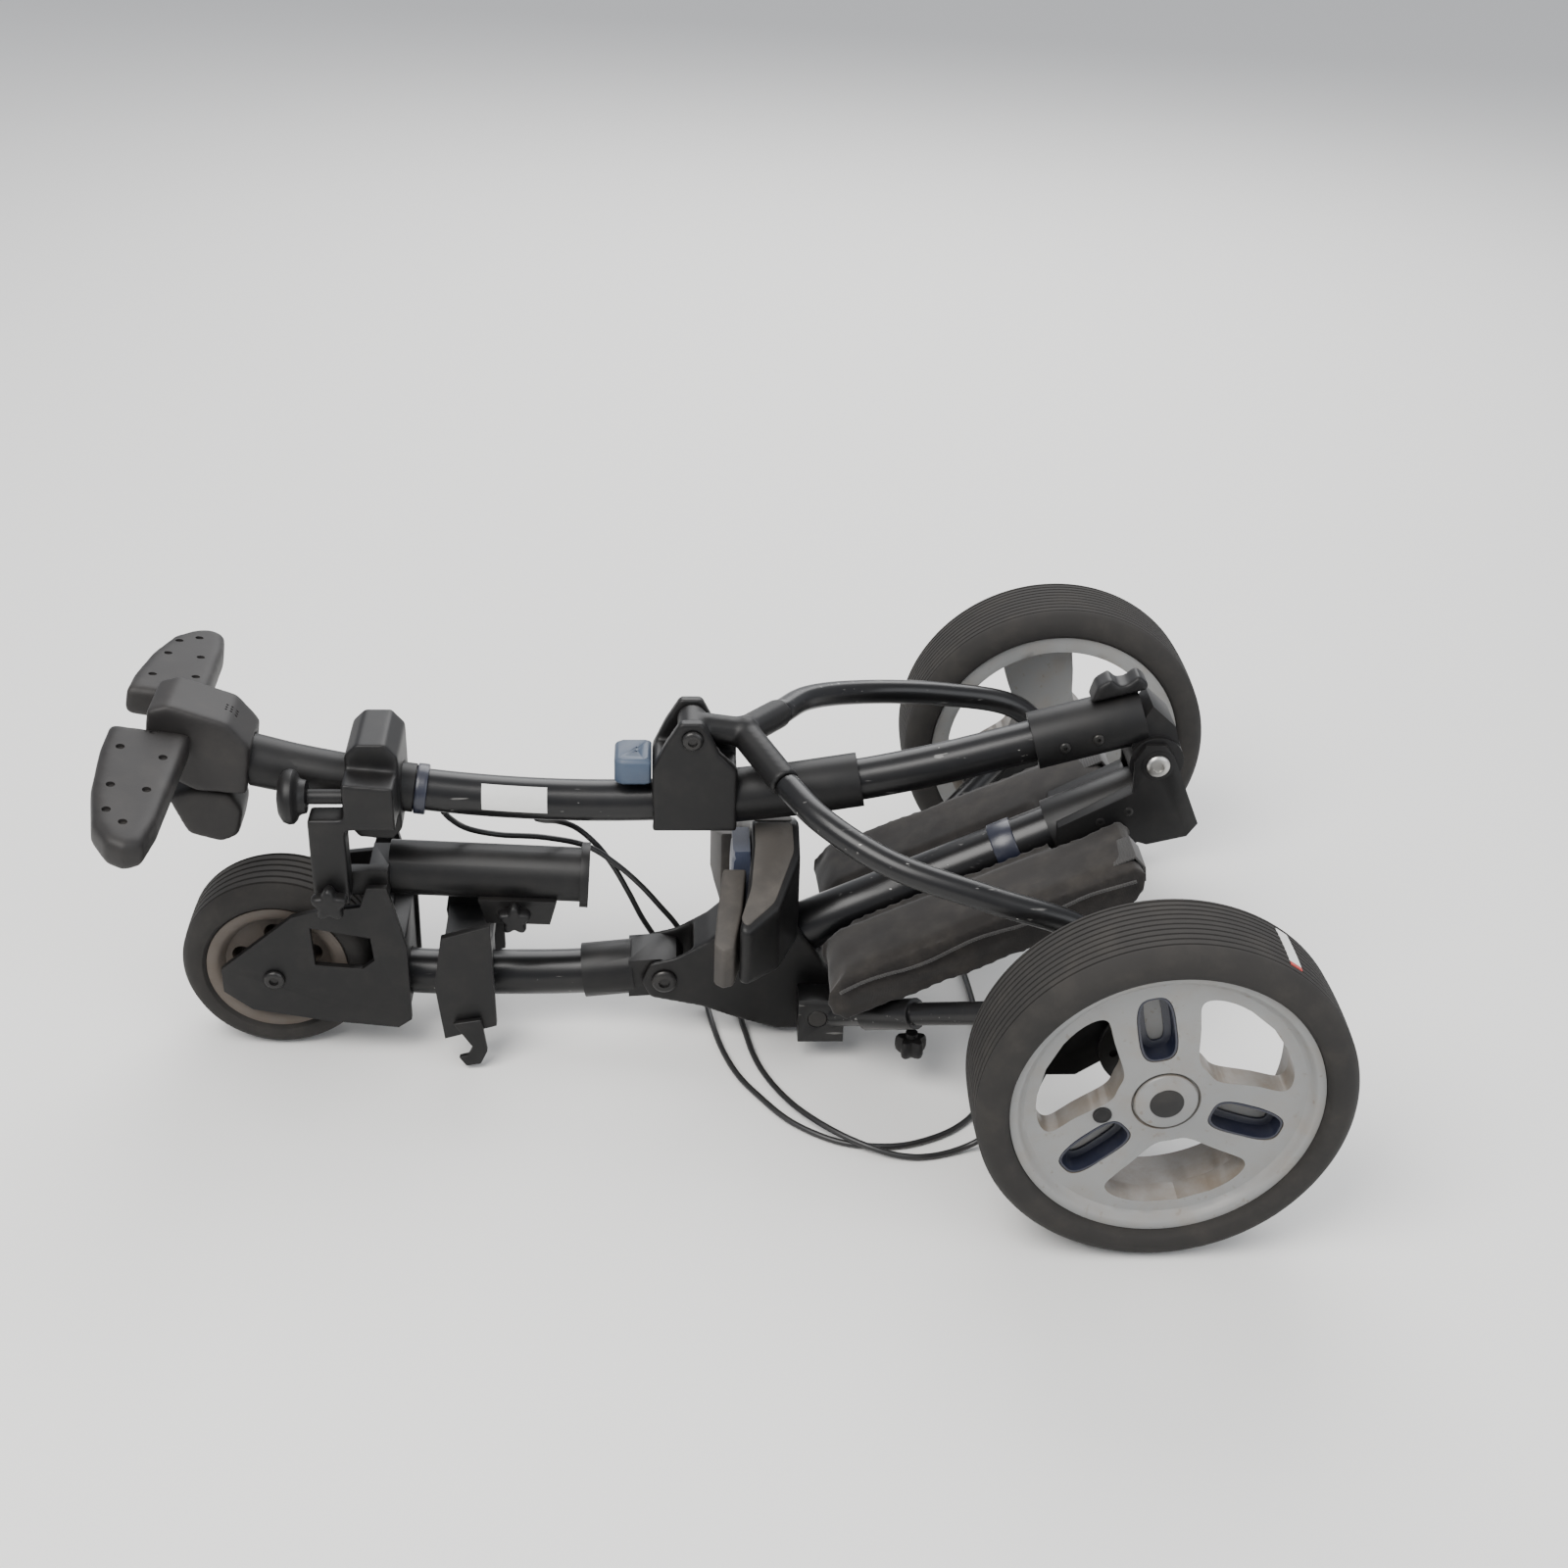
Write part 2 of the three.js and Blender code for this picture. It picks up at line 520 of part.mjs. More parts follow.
/** Broad-spoked wheel: the spokes are what is left between the openings of the face. */
function rearWheel(name, side) {
  const centre = [0, REAR_TRACK * side, AXLE_Z];
  const w = REAR_HALF;
  const bore = AXLE_R + GAP;
  const face = turned([
    [bore, -w + 1], [19, -w + 1], [21, 8], [96.8, 11.8], [96.8, 24], [25, 24], [23, 21.8], [bore, 21.8],
  ], 32, centre, side);
  piece(`rear_rim_${name}`, turned([
    [97.2, 24], [97.2, 0], [100, -w + 7], [RIM_R - GAP, -w + 5], [RIM_R - GAP, w - 8], [108, w - 8], [104, 25],
  ], 32, centre, side), rimGrey);
  const openings = [42, 162, 282].map((degrees) => {
    const half = THREE.MathUtils.degToRad(42);
    const middle = THREE.MathUtils.degToRad(degrees);
    const outline = [];
    for (const [radius, from, to] of [[100, -half, half], [38, half * 0.58, -half * 0.58]]) {
      for (let i = 0; i <= 5; i++) {
        const a = middle + from + ((to - from) * i) / 5;
        outline.push([radius * Math.cos(a), AXLE_Z + radius * Math.sin(a)]);
      }
    }
    const through = [REAR_TRACK * side + 2 * side, REAR_TRACK * side + 34 * side];
    return slab(outline, Math.min(...through), Math.max(...through));
  });
  piece(`rear_spokes_${name}`, cut(face, ...openings), rimGrey);
  piece(`rear_tyre_${name}`, turned([
    [RIM_R, -w + 6], [122, -w], [134, -w + 2], [138, -w + 8], [REAR_R, -w + 20], [REAR_R, w - 20], [138, w - 8],
    [134, w - 2], [122, w], [RIM_R, w - 6],
  ], 32, centre, side), tyreGrey);
  piece(`hub_cap_${name}`, turned([
    [0.01, 29], [18, 29], [23.4, 26], [23.4, 22.4], [0.01, 22.4],
  ], 20, centre, side), navy);
  piece(`brake_disc_${name}`, turned([[bore, -w + 0.6], [bore, -w - 3], [38, -w - 3], [38, -w + 0.6]], 28, centre, side),
    steel);
}

lowerFrame();
frontLeg();
frontWheel();
upperShaft();
handle();
slider();
struts();
cables();
for (const [name, side] of sides) rearWheel(name, side);

const object = new THREE.Group();
object.add(trolley);
export default object;
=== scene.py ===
"""A folding three-wheel golf trolley with its accessory pouch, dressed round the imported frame.

Lengths inside the sub-assembly classes are millimetres in the trolley's own axes: X along the
trolley from the rear axle, Y across it and Z up from the ground. ``Shop.at`` turns them into metres
in the row frame.
"""

from __future__ import annotations

import logging
import math
from dataclasses import dataclass
from enum import Enum
from typing import Iterable, Sequence

import bmesh
import bpy
from mathutils import Matrix, Vector, noise

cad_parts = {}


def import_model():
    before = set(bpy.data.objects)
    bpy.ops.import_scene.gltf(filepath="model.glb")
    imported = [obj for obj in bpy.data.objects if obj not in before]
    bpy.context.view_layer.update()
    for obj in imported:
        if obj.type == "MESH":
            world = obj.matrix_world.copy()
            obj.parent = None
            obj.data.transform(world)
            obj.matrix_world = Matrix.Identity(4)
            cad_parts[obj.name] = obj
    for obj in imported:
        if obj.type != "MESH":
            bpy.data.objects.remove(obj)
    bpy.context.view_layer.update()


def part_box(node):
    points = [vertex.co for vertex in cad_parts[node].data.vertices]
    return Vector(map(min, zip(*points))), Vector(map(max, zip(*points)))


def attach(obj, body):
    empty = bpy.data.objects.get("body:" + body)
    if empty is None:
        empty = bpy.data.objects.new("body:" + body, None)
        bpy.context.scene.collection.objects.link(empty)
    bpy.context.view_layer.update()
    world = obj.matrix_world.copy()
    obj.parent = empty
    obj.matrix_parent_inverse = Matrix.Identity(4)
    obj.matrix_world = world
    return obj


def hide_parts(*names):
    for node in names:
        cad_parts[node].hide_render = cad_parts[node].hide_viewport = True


LOG = logging.getLogger("trolley")
MM = 0.001
Point = Sequence[float]


class Side(Enum):
    """The two sides of the trolley, with the sign of Y on each."""

    NEAR = -1
    FAR = 1

    @property
    def word(self) -> str:
        """The side's name as the frame's nodes use it."""
        return self.name.lower()


# ---------------------------------------------------------------------------------------------
# shader expressions
# ---------------------------------------------------------------------------------------------


class Wire:
    """A number or a socket in a material's node tree, with the usual operators."""

    def __init__(self, tree: "Tree", value: object) -> None:
        """Holds a value.

        Args:
            tree: the tree that new nodes go into.
            value: a number or an output socket.
        """
        self.tree = tree
        self.value = value

    def _math(self, operation: str, *others: object) -> "Wire":
        """One Math node with this value first."""
        values = dict(enumerate([self.value, *(unwrap(o) for o in others)]))
        return self.tree.node("ShaderNodeMath", {"operation": operation}, values)

    def __add__(self, other: object) -> "Wire":
        """The sum."""
        return self._math("ADD", other)

    def __sub__(self, other: object) -> "Wire":
        """The difference."""
        return self._math("SUBTRACT", other)

    def __rsub__(self, other: object) -> "Wire":
        """The difference the other way round."""
        return Wire(self.tree, unwrap(other))._math("SUBTRACT", self)

    def __mul__(self, other: object) -> "Wire":
        """The product."""
        return self._math("MULTIPLY", other)

    __radd__ = __add__
    __rmul__ = __mul__

    def above(self, edge: float, soft: float = 0.05) -> "Wire":
        """0 under an edge and 1 over it.

        Args:
            edge: where the step is.
            soft: half the width of the step.

        Returns:
            The stepped value.
        """
        settings = {"interpolation_type": "SMOOTHSTEP"}
        values = {0: self.value, 1: edge - soft, 2: edge + soft}
        return self.tree.node("ShaderNodeMapRange", settings, values)

    def sine(self) -> "Wire":
        """The sine."""
        return self._math("SINE")

    def size(self) -> "Wire":
        """The value without its sign."""
        return self._math("ABSOLUTE")

    def most(self, other: object) -> "Wire":
        """The larger of two values."""
        return self._math("MAXIMUM", other)


def unwrap(value: object) -> object:
    """A Wire's own value, or the value itself."""
    return value.value if isinstance(value, Wire) else value


def opaque(value: object) -> object:
    """A colour of three numbers with a full alpha, or anything else as it is."""
    return (*value, 1.0) if isinstance(value, tuple) and len(value) == 3 else value


class Tree:
    """One material with a Principled shader, filled in by expressions."""

    def __init__(self, name: str) -> None:
        """Starts a material.

        Args:
            name: the material's name.
        """
        self.material = bpy.data.materials.new(name)
        self.material.use_nodes = True
        self.nodes = self.material.node_tree.nodes
        self.links = self.material.node_tree.links
        self.shader = self.nodes["Principled BSDF"]
        self.place = self.node("ShaderNodeTexCoord", {}, {}, "Object")

    def node(self, kind: str, settings: dict, values: dict, out: object = 0) -> Wire:
        """Adds a node.

        Args:
            kind: the node's type.
            settings: its own properties, set before the sockets.
            values: numbers, colours or wires, by socket name or number.
            out: the output socket wanted.

        Returns:
            That output.
        """
        made = self.nodes.new(kind)
        for key, value in settings.items():
            setattr(made, key, value)
        for key, value in values.items():
            value = unwrap(value)
            if isinstance(value, bpy.types.NodeSocket):
                self.links.new(value, made.inputs[key])
            else:
                made.inputs[key].default_value = value
        return Wire(self, made.outputs[out])

    def noise(self, scale: float, detail: float = 3.0, stretch: Point = (1, 1, 1),
              rough: float = 0.55) -> Wire:
        """Cloudy noise of the object's own coordinates, 0 to 1.

        Args:
            scale: how fine it is, per metre.
            detail: how many octaves.
            stretch: how much finer it is along each axis.
            rough: how strong the fine octaves are.

        Returns:
            The noise.
        """
        place = self.node("ShaderNodeMapping", {}, {"Vector": self.place, "Scale": tuple(stretch)})
        values = {"Vector": place, "Scale": scale, "Detail": detail, "Roughness": rough}
        return self.node("ShaderNodeTexNoise", {}, values, "Fac")

    def axis(self, index: int) -> Wire:
        """One of the object's own coordinates, in metres."""
        return self.node("ShaderNodeSeparateXYZ", {}, {0: self.place}, index)

    def upward(self) -> Wire:
        """How far the surface faces up, -1 to 1."""
        normal = self.node("ShaderNodeNewGeometry", {}, {}, "Normal")
        return self.node("ShaderNodeSeparateXYZ", {}, {0: normal}, 2)

    def blend(self, share: object, first: object, second: object) -> Wire:
        """A mix of two colours."""
        values = {0: share, 6: opaque(first), 7: opaque(second)}
        return self.node("ShaderNodeMix", {"data_type": "RGBA"}, values, 2)

    def bump(self, height: Wire, depth_mm: float) -> Wire:
        """A bumped normal from a height of 0 to 1."""
        values = {"Height": height, "Distance": depth_mm * MM, "Strength": 1.0}
        return self.node("ShaderNodeBump", {}, values)

    def set(self, **values: object) -> None:
        """Sets or links the shader's sockets, by name with _ for a space."""
        for key, value in values.items():
            socket = self.shader.inputs[key.replace("_", " ")]
            value = unwrap(value)
            if isinstance(value, bpy.types.NodeSocket):
                self.links.new(value, socket)
            else:
                socket.default_value = opaque(value)


# ---------------------------------------------------------------------------------------------
# finishes
# ---------------------------------------------------------------------------------------------


class Texture(Enum):
    """What the close-up surface of a finish is."""

    GRAIN = "fine moulded grain"
    SATIN = "powder coat with light scuffs"
    WEAVE = "woven cloth"
    BRUSHED = "turned or brushed metal"
    RUBBER = "dull foam rubber"
    RIBBED = "webbing ribs"


@dataclass(frozen=True)
class Finish:
    """One finish of the trolley: its colours, gloss, texture and dirt."""

    name: str
    base: Point
    second: Point
    roughness: float
    texture: Texture = Texture.GRAIN
    metallic: float = 0.0
    coat: float = 0.0
    dust: float = 0.25
    dust_color: Point = (0.23, 0.2, 0.165)
    depth: float = 0.05
    scale: float = 900.0
    sheen: float = 0.0
    specular: float = 0.5

    def height(self, tree: Tree) -> Wire:
        """The relief of the texture, 0 to 1."""
        if self.texture is Texture.WEAVE:
            return self._weave(tree)
        if self.texture is Texture.RIBBED:
            ribs = (tree.axis(0) * self.scale + tree.axis(2) * self.scale).sine()
            return ribs * 0.5 + 0.5
        if self.texture is Texture.BRUSHED:
            return tree.noise(self.scale, 2.0, (0.06, 1, 1))
        grain = tree.noise(self.scale, 2.0)
        if self.texture is Texture.RUBBER:
            return grain * 0.6 + tree.noise(self.scale * 0.22, 3.0) * 0.4
        return grain

    @staticmethod
    def _grime(tree: Tree, color: Wire) -> Wire:
        """Darker brown on a wheel's walls, the faces that turn away from its axle, in patches, with
        brown specks.
        """
        normal = tree.node("ShaderNodeNewGeometry", {}, {}, "Normal")
        sideways = tree.node("ShaderNodeSeparateXYZ", {}, {0: normal}, 1).size()
        wall = 1.0 - sideways.above(0.45, 0.35)
        blotches = tree.noise(30.0, 7.0, rough=0.7)
        speckles = tree.noise(160.0, 3.0).above(0.66, 0.04) * 0.6
        walls_and_specks = (wall * (0.25 + blotches.above(0.5,
                                               0.2) * 0.65)).most(speckles * blotches.above(0.5,
                                                                                            0.1))
        return tree.blend(walls_and_specks, color, (0.13, 0.1, 0.07))

    def _weave(self, tree: Tree) -> Wire:
        """Warp and weft threads crossing."""
        turns = self.scale * 2.0
        warp = ((tree.axis(0) + tree.axis(2) * 0.45) * turns).sine()
        weft = ((tree.axis(1) + tree.axis(2) * 0.5) * turns).sine()
        return (warp * weft) * 0.35 + tree.noise(self.scale * 0.5, 3.0) * 0.5 + 0.25

    def make(self) -> bpy.types.Material:
        """Builds the material.

        Returns:
            The finished material.
        """
        tree = Tree(self.name)
        cloud = tree.noise(9.0, 3.0)
        color = tree.blend(cloud.above(0.5, 0.3), self.base, self.second)
        patches = tree.noise(38.0, 6.0, rough=0.6)
        settled = (tree.upward() * 0.35 + 0.5).above(0.6, 0.45)
        dust = (patches.above(0.6, 0.2) * 0.75 + settled * 0.4) * self.dust
        color = tree.blend(dust, color, self.dust_color)
        # The rim and hub caps get darker brown on the faces that turn away from the axle, with
        # brown specks.
        if self.name == RIM_NAME:
            color = self._grime(tree, color)
        rough = self.roughness + (cloud - 0.5) * 0.16 + dust * 0.3
        if self.texture is Texture.SATIN:
            scratches = tree.noise(230.0, 2.0, (0.1, 1.0, 1.0)).above(0.7, 0.02)
            chips = tree.noise(210.0, 2.0, (0.45, 1.0, 1.0)).above(0.735, 0.015)
            marks = (scratches * 0.3).most(chips * 0.9) * patches.above(0.5, 0.12)
            color = tree.blend(marks, color, (0.4, 0.39, 0.37))
            rough = rough + marks * 0.2
        normal = tree.bump(self.height(tree), self.depth)
        tree.set(Base_Color=color, Roughness=rough, Metallic=self.metallic, Normal=normal)
        tree.set(Specular_IOR_Level=self.specular)
        tree.set(Coat_Weight=self.coat, Coat_Roughness=0.25, Sheen_Weight=self.sheen,
                 Sheen_Roughness=0.5)
        return tree.material


RIM_NAME = "dusty light grey rim"
FRAME = Finish("satin frame black", (0.0032, 0.0032, 0.0037), (0.0048, 0.0048, 0.0054), 0.31,
               Texture.SATIN,
               metallic=0.1, coat=0.1, dust=0.02, depth=0.01, scale=1400.0, specular=0.35)
PLASTIC = Finish("moulded black", (0.003, 0.003, 0.0033), (0.0043, 0.0042, 0.0045), 0.46, dust=0.03,
                 depth=0.03,
                 specular=0.3)
GRIP = Finish("soft grip grey", (0.009, 0.0081, 0.0081), (0.012, 0.0108, 0.0106), 0.55, dust=0.05,
              depth=0.045, specular=0.35)
PAD = Finish("embossed pad rubber", (0.026, 0.0228, 0.0202), (0.036, 0.0315, 0.0275), 0.66,
             Texture.RUBBER, dust=0.22)
TYRE = Finish("foam tyre", (0.0135, 0.0126, 0.012), (0.021, 0.0194, 0.0182), 0.8, Texture.RUBBER,
              dust=0.3,
              dust_color=(0.065, 0.058, 0.05), depth=0.08, scale=700.0, specular=0.3)
RIM = Finish(RIM_NAME, (0.175, 0.18, 0.18), (0.215, 0.218, 0.214), 0.42, dust=0.42,
             dust_color=(0.19, 0.145, 0.1), depth=0.03, coat=0.15)
OLD_RIM = Finish("grimy front rim", (0.06, 0.05, 0.042), (0.11, 0.092, 0.076), 0.62, dust=0.5,
                 dust_color=(0.075, 0.05, 0.032), depth=0.04)
NAVY = Finish("navy trim", (0.0045, 0.0065, 0.017), (0.0065, 0.0095, 0.024), 0.36, dust=0.06,
              coat=0.2)
SLATE = Finish("slate blue button", (0.03, 0.052, 0.088), (0.038, 0.062, 0.102), 0.45, dust=0.12)
CLOTH = Finish("charcoal pouch cloth", (0.0088, 0.0077, 0.0075), (0.0132, 0.0115, 0.011), 0.86,
               Texture.WEAVE,
               dust=0.12, depth=0.16, scale=2600.0, sheen=0.12, specular=0.25)
WEBBING = Finish("ribbed webbing", (0.016, 0.0155, 0.0155), (0.024, 0.0225, 0.022), 0.8,
                 Texture.RIBBED, dust=0.1,
                 depth=0.3, scale=2200.0, sheen=0.2)
ELASTIC = Finish("blue elastic", (0.008, 0.016, 0.042), (0.012, 0.022, 0.056), 0.66, Texture.WEAVE,
                 dust=0.1, depth=0.2,
                 scale=2400.0, sheen=0.3)
STEEL = Finish("brushed steel", (0.4, 0.395, 0.38), (0.5, 0.49, 0.47), 0.34, Texture.BRUSHED,
               metallic=1.0, dust=0.2,
               depth=0.02, scale=1800.0)
DARK_STEEL = Finish("blackened steel", (0.02, 0.02, 0.021), (0.035, 0.034, 0.033), 0.36,
                    Texture.BRUSHED, metallic=0.7,
                    dust=0.08, depth=0.015, scale=1800.0)
SHEATH = Finish("cable sheath", (0.007, 0.007, 0.0075), (0.011, 0.011, 0.012), 0.38, dust=0.05,
                depth=0.02)
LABEL = Finish("plain label", (0.62, 0.62, 0.6), (0.7, 0.695, 0.67), 0.5, dust=0.12, depth=0.01)
RED = Finish("red mark", (0.4, 0.035, 0.03), (0.46, 0.05, 0.04), 0.5, dust=0.15, depth=0.01)


# ---------------------------------------------------------------------------------------------
# mesh making
# ---------------------------------------------------------------------------------------------


def turned(centre: Point, axis: str, radius: float, angle: float, along: float) -> list[float]:
    """A point at a radius and an angle round an axis, at an offset along it.

    Args:
        centre: a point on the axis.
        axis: the axis, X, Y or Z.
        radius: how far out the point is.
        angle: how far round it is, in radians.
        along: its offset from the centre.

    Returns:
        The point.
    """
    u, v = radius * math.sin(angle), radius * math.cos(angle)
    offset = {"Y": (u, along, v), "X": (along, u, v), "Z": (u, v, along)}[axis]
    return [centre[k] + offset[k] for k in range(3)]


def squared(value: float, power: float) -> float:
    """A sine or cosine bent towards a square corner, with its sign kept."""
    return math.copysign(abs(value) ** power, value)


class Shop:
    """Makes meshes in the row frame from millimetres in the trolley's axes."""

    axle_x = 0.0
    materials: dict[str, bpy.types.Material] = {}

    @classmethod
    def at(cls, point: Point) -> Vector:
        """A point in the trolley's millimetres, in the row frame's metres."""
        return Vector((point[0] * MM + cls.axle_x, point[1] * MM, point[2] * MM))

    @classmethod
    def piece(cls, name: str, verts: Iterable[Point],
              faces: Iterable[Sequence[int]]) -> bpy.types.Object:
        """A mesh object from points in the trolley's millimetres.

        Args:
            name: the object's name.
            verts: its corners.
            faces: corner numbers of each face.

        Returns:
            The linked object, with its faces turned outwards.
        """
        mesh = bpy.data.meshes.new(name)
        mesh.from_pydata([cls.at(v) for v in verts], [], [list(f) for f in faces])
        made = bmesh.new()
        made.from_mesh(mesh)
        bmesh.ops.recalc_face_normals(made, faces=made.faces)
        made.to_mesh(mesh)
        made.free()
        obj = bpy.data.objects.new(name, mesh)
        bpy.context.scene.collection.objects.link(obj)
        return obj

    @classmethod
    def loft(cls, name: str, rings: Sequence[Sequence[Point]],
             closed: bool = False) -> bpy.types.Object:
        """A skin over rings of equal length, capped at both ends unless it closes on itself."""
        count = len(rings[0])
        verts = [p for ring in rings for p in ring]
        faces = []
        for i in range(len(rings) if closed else len(rings) - 1):
            a, b = i * count, ((i + 1) % len(rings)) * count
            for j in range(count):
                k = (j + 1) % count
                faces.append((a + j, a + k, b + k, b + j))
        if not closed:
            faces.append(tuple(range(count)))
            faces.append(tuple(range(len(verts) - count, len(verts))))
        return cls.piece(name, verts, faces)

    @classmethod
    def tube(cls, name: str, path: Sequence[Point], radius: float,
             sides: int = 40) -> bpy.types.Object:
        """A round bar along a path, with softened ends.

        Args:
            name: the object's name.
            path: the centreline.
            radius: its radius.
            sides: facets round it.

        Returns:
            The object.
        """
        points = [Vector(p) for p in path]
        up = Vector((0.03, 1.0, 0.02))
        rings = []
        ends = min(1.2, radius * 0.25)
        first, last = points[0], points[-1]
        for i, p in enumerate(points):
            ahead = points[min(i + 1, len(points) - 1)] - points[max(i - 1, 0)]
            ahead.normalize()
            across = up - ahead * up.dot(ahead)
            across.normalize()
            up = across
            other = ahead.cross(across)
            steps = [(0.0, radius)]
            slope = radius - ends * 0.3
            if p is first:
                steps = [(0.0, radius - ends), (ends * 0.3, slope), (ends, radius)]
            if p is last:
                steps = [(-ends, radius), (-ends * 0.3, slope), (0.0, radius - ends)]
            for shift, size in steps:
                ring = []
                for j in range(sides):
                    a = math.tau * j / sides
                    out = across * (math.cos(a) * size) + other * (math.sin(a) * size)
                    ring.append(p + ahead * shift + out)
                rings.append(ring)
        return smooth(cls.loft(name, rings), 40)

    @classmethod
    def lathe(cls, name: str, profile: Sequence[Point], centre: Point, side: int = 1,
              steps: int = 96,
              axis: str = "Y", angle: float = 32.0) -> bpy.types.Object:
        """A profile of radius and offset turned round an axis.

        Args:
            name: the object's name.
            profile: radius and offset along the axis, closed on itself.
            centre: the centre that offsets count from.
            side: -1 mirrors the offsets.
            steps: facets round it.
            axis: the axis, X, Y or Z.
            angle: edges sharper than this stay sharp.

        Returns:
            The object.
        """
        rings = []
        for i in range(steps):
            a = math.tau * i / steps
            rings.append([turned(centre, axis, r, a, w * side) for r, w in profile])
        return smooth(cls.loft(name, rings, closed=True), angle)

    @classmethod
    def slab(cls, name: str, outline: Sequence[Point], y0: float, y1: float,
             soft: float) -> bpy.types.Object:
        """An outline given thickness, with rounded rims.

        Args:
            name: the object's name.
            outline: X and Z of its corners.
            y0: where the thickness starts.
            y1: where it ends.
            soft: the radius of the rims.

        Returns:
            The object.
        """
        rings = [[(x, y, z) for x, z in outline] for y in (y0, y1)]
        return round_edges(cls.loft(name, rings), soft)

    @classmethod
    def dress(cls, obj: bpy.types.Object, finish: Finish, body: str, slot: str,
              *nodes: str) -> bpy.types.Object:
        """Gives a piece its finish and its body, and hides the nodes that it stands for."""
        if finish.name not in cls.materials:
            cls.materials[finish.name] = finish.make()
        obj.data.materials.clear()
        obj.data.materials.append(cls.materials[finish.name])
        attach(obj, body)
        if nodes:
            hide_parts(*nodes)
        LOG.info("%s on %s", obj.name, body)
        return obj


def apply(obj: bpy.types.Object) -> bpy.types.Object:
    """Bakes an object's modifiers into its mesh."""
    graph = bpy.context.evaluated_depsgraph_get()
    mesh = bpy.data.meshes.new_from_object(obj.evaluated_get(graph))
    obj.modifiers.clear()
    obj.data = mesh
    return obj


def smooth(obj: bpy.types.Object, angle: float = 35.0) -> bpy.types.Object:
    """Shades smooth across edges blunter than an angle in degrees."""
    obj.data.polygons.foreach_set("use_smooth", [True] * len(obj.data.polygons))
    obj.data.set_sharp_from_angle(angle=math.radians(angle))
    return obj


def round_edges(obj: bpy.types.Object, width: float, angle: float = 28.0,
                segments: int = 3) -> bpy.types.Object:
    """Rounds the sharp edges by a width in millimetres."""
    if width > 0:
        bevel = obj.modifiers.new("rim", "BEVEL")
        bevel.width = width * MM
        bevel.segments = segments
        bevel.limit_method = "ANGLE"
        bevel.angle_limit = math.radians(angle)
        bevel.harden_normals = False
        apply(obj)
    return smooth(obj, 40)


def carve(obj: bpy.types.Object, *cutters: bpy.types.Object,
          operation: str = "DIFFERENCE") -> bpy.types.Object:
    """Cuts objects out of another, or joins them, and removes them."""
    for cutter in cutters:
        boolean = obj.modifiers.new("cut", "BOOLEAN")
        boolean.operation = operation
        boolean.object = cutter
        boolean.solver = "EXACT"
        apply(obj)
        bpy.data.objects.remove(cutter)
    return obj


def from_node(node: str, name: str, width: float, angle: float = 30.0) -> bpy.types.Object:
    """A softened copy of a CAD node: flat faces merged and the sharp edges rounded.

    Args:
        node: the CAD node.
        name: the new object's name.
        width: the edge radius in millimetres.
        angle: edges sharper than this are rounded.

    Returns:
        The copy.
    """
    source = bpy.data.objects[node]
    mesh = source.data.copy()
    obj = bpy.data.objects.new(name, mesh)
    bpy.context.scene.collection.objects.link(obj)
    made = bmesh.new()
    made.from_mesh(mesh)
    bmesh.ops.remove_doubles(made, verts=made.verts, dist=2e-5)
    bmesh.ops.dissolve_limit(made, angle_limit=math.radians(1.5), verts=made.verts,
                             edges=made.edges)
    made.to_mesh(mesh)
    made.free()
    return round_edges(obj, width, angle)


def crowned(obj: bpy.types.Object, voxel: float = 2.2, rounds: int = 14) -> bpy.types.Object:
    """Rounds a blocky moulding all over, inside its own outline.

    Args:
        obj: the object.
        voxel: the remesh size in millimetres.
        rounds: how many smoothing rounds.

    Returns:
        The same object.
    """
    remesh = obj.modifiers.new("remesh", "REMESH")
    remesh.mode = "VOXEL"
    remesh.voxel_size = voxel * MM
    apply(obj)
    soften = obj.modifiers.new("soften", "SMOOTH")
    soften.factor = 0.6
    soften.iterations = rounds
    apply(obj)
    return smooth(obj, 180)


def curve_through(points: Sequence[Point], steps: int = 8) -> list[Vector]:
    """A smooth centripetal line through points.

    Args:
        points: the points to pass.
        steps: how many places in each stretch.

    Returns:
        The places along it.
    """
    p = [Vector(q) for q in points]
    p = [p[0] * 2 - p[1], *p, p[-1] * 2 - p[-2]]
    line = []
    for i in range(1, len(p) - 2):
        a, b, c, d = p[i - 1:i + 3]
        t1 = (b - a).length ** 0.5
        t2 = t1 + (c - b).length ** 0.5
        t3 = t2 + (d - c).length ** 0.5
        for k in range(steps):
            t = t1 + (t2 - t1) * k / steps
            ab = a * ((t1 - t) / t1) + b * (t / t1)
            bc = b * ((t2 - t) / (t2 - t1)) + c * ((t - t1) / (t2 - t1))
            cd = c * ((t3 - t) / (t3 - t2)) + d * ((t - t2) / (t3 - t2))
            abc = ab * ((t2 - t) / t2) + bc * (t / t2)
            bcd = bc * ((t3 - t) / (t3 - t1)) + cd * ((t - t1) / (t3 - t1))
            line.append(abc * ((t2 - t) / (t2 - t1)) + bcd * ((t - t1) / (t2 - t1)))
    return [*line, p[-2]]


def rounded_outline(corners: Sequence[Point], radius: float, steps: int = 5) -> list[Point]:
    """An outline with each corner rounded by an arc of about a radius."""
    out = []
    for i, corner in enumerate(corners):
        here = Vector(corner)
        before, after = Vector(corners[i - 1]), Vector(corners[(i + 1) % len(corners)])
        cut = min(radius, (before - here).length * 0.45, (after - here).length * 0.45)
        start = here + (before - here).normalized() * cut
        end = here + (after - here).normalized() * cut
        for k in range(steps + 1):
            t = k / steps
            out.append(tuple(start * (1 - t) ** 2 + here * (2 * t * (1 - t)) + end * t * t))
    return out


# ---------------------------------------------------------------------------------------------
# sub-assemblies
# ---------------------------------------------------------------------------------------------


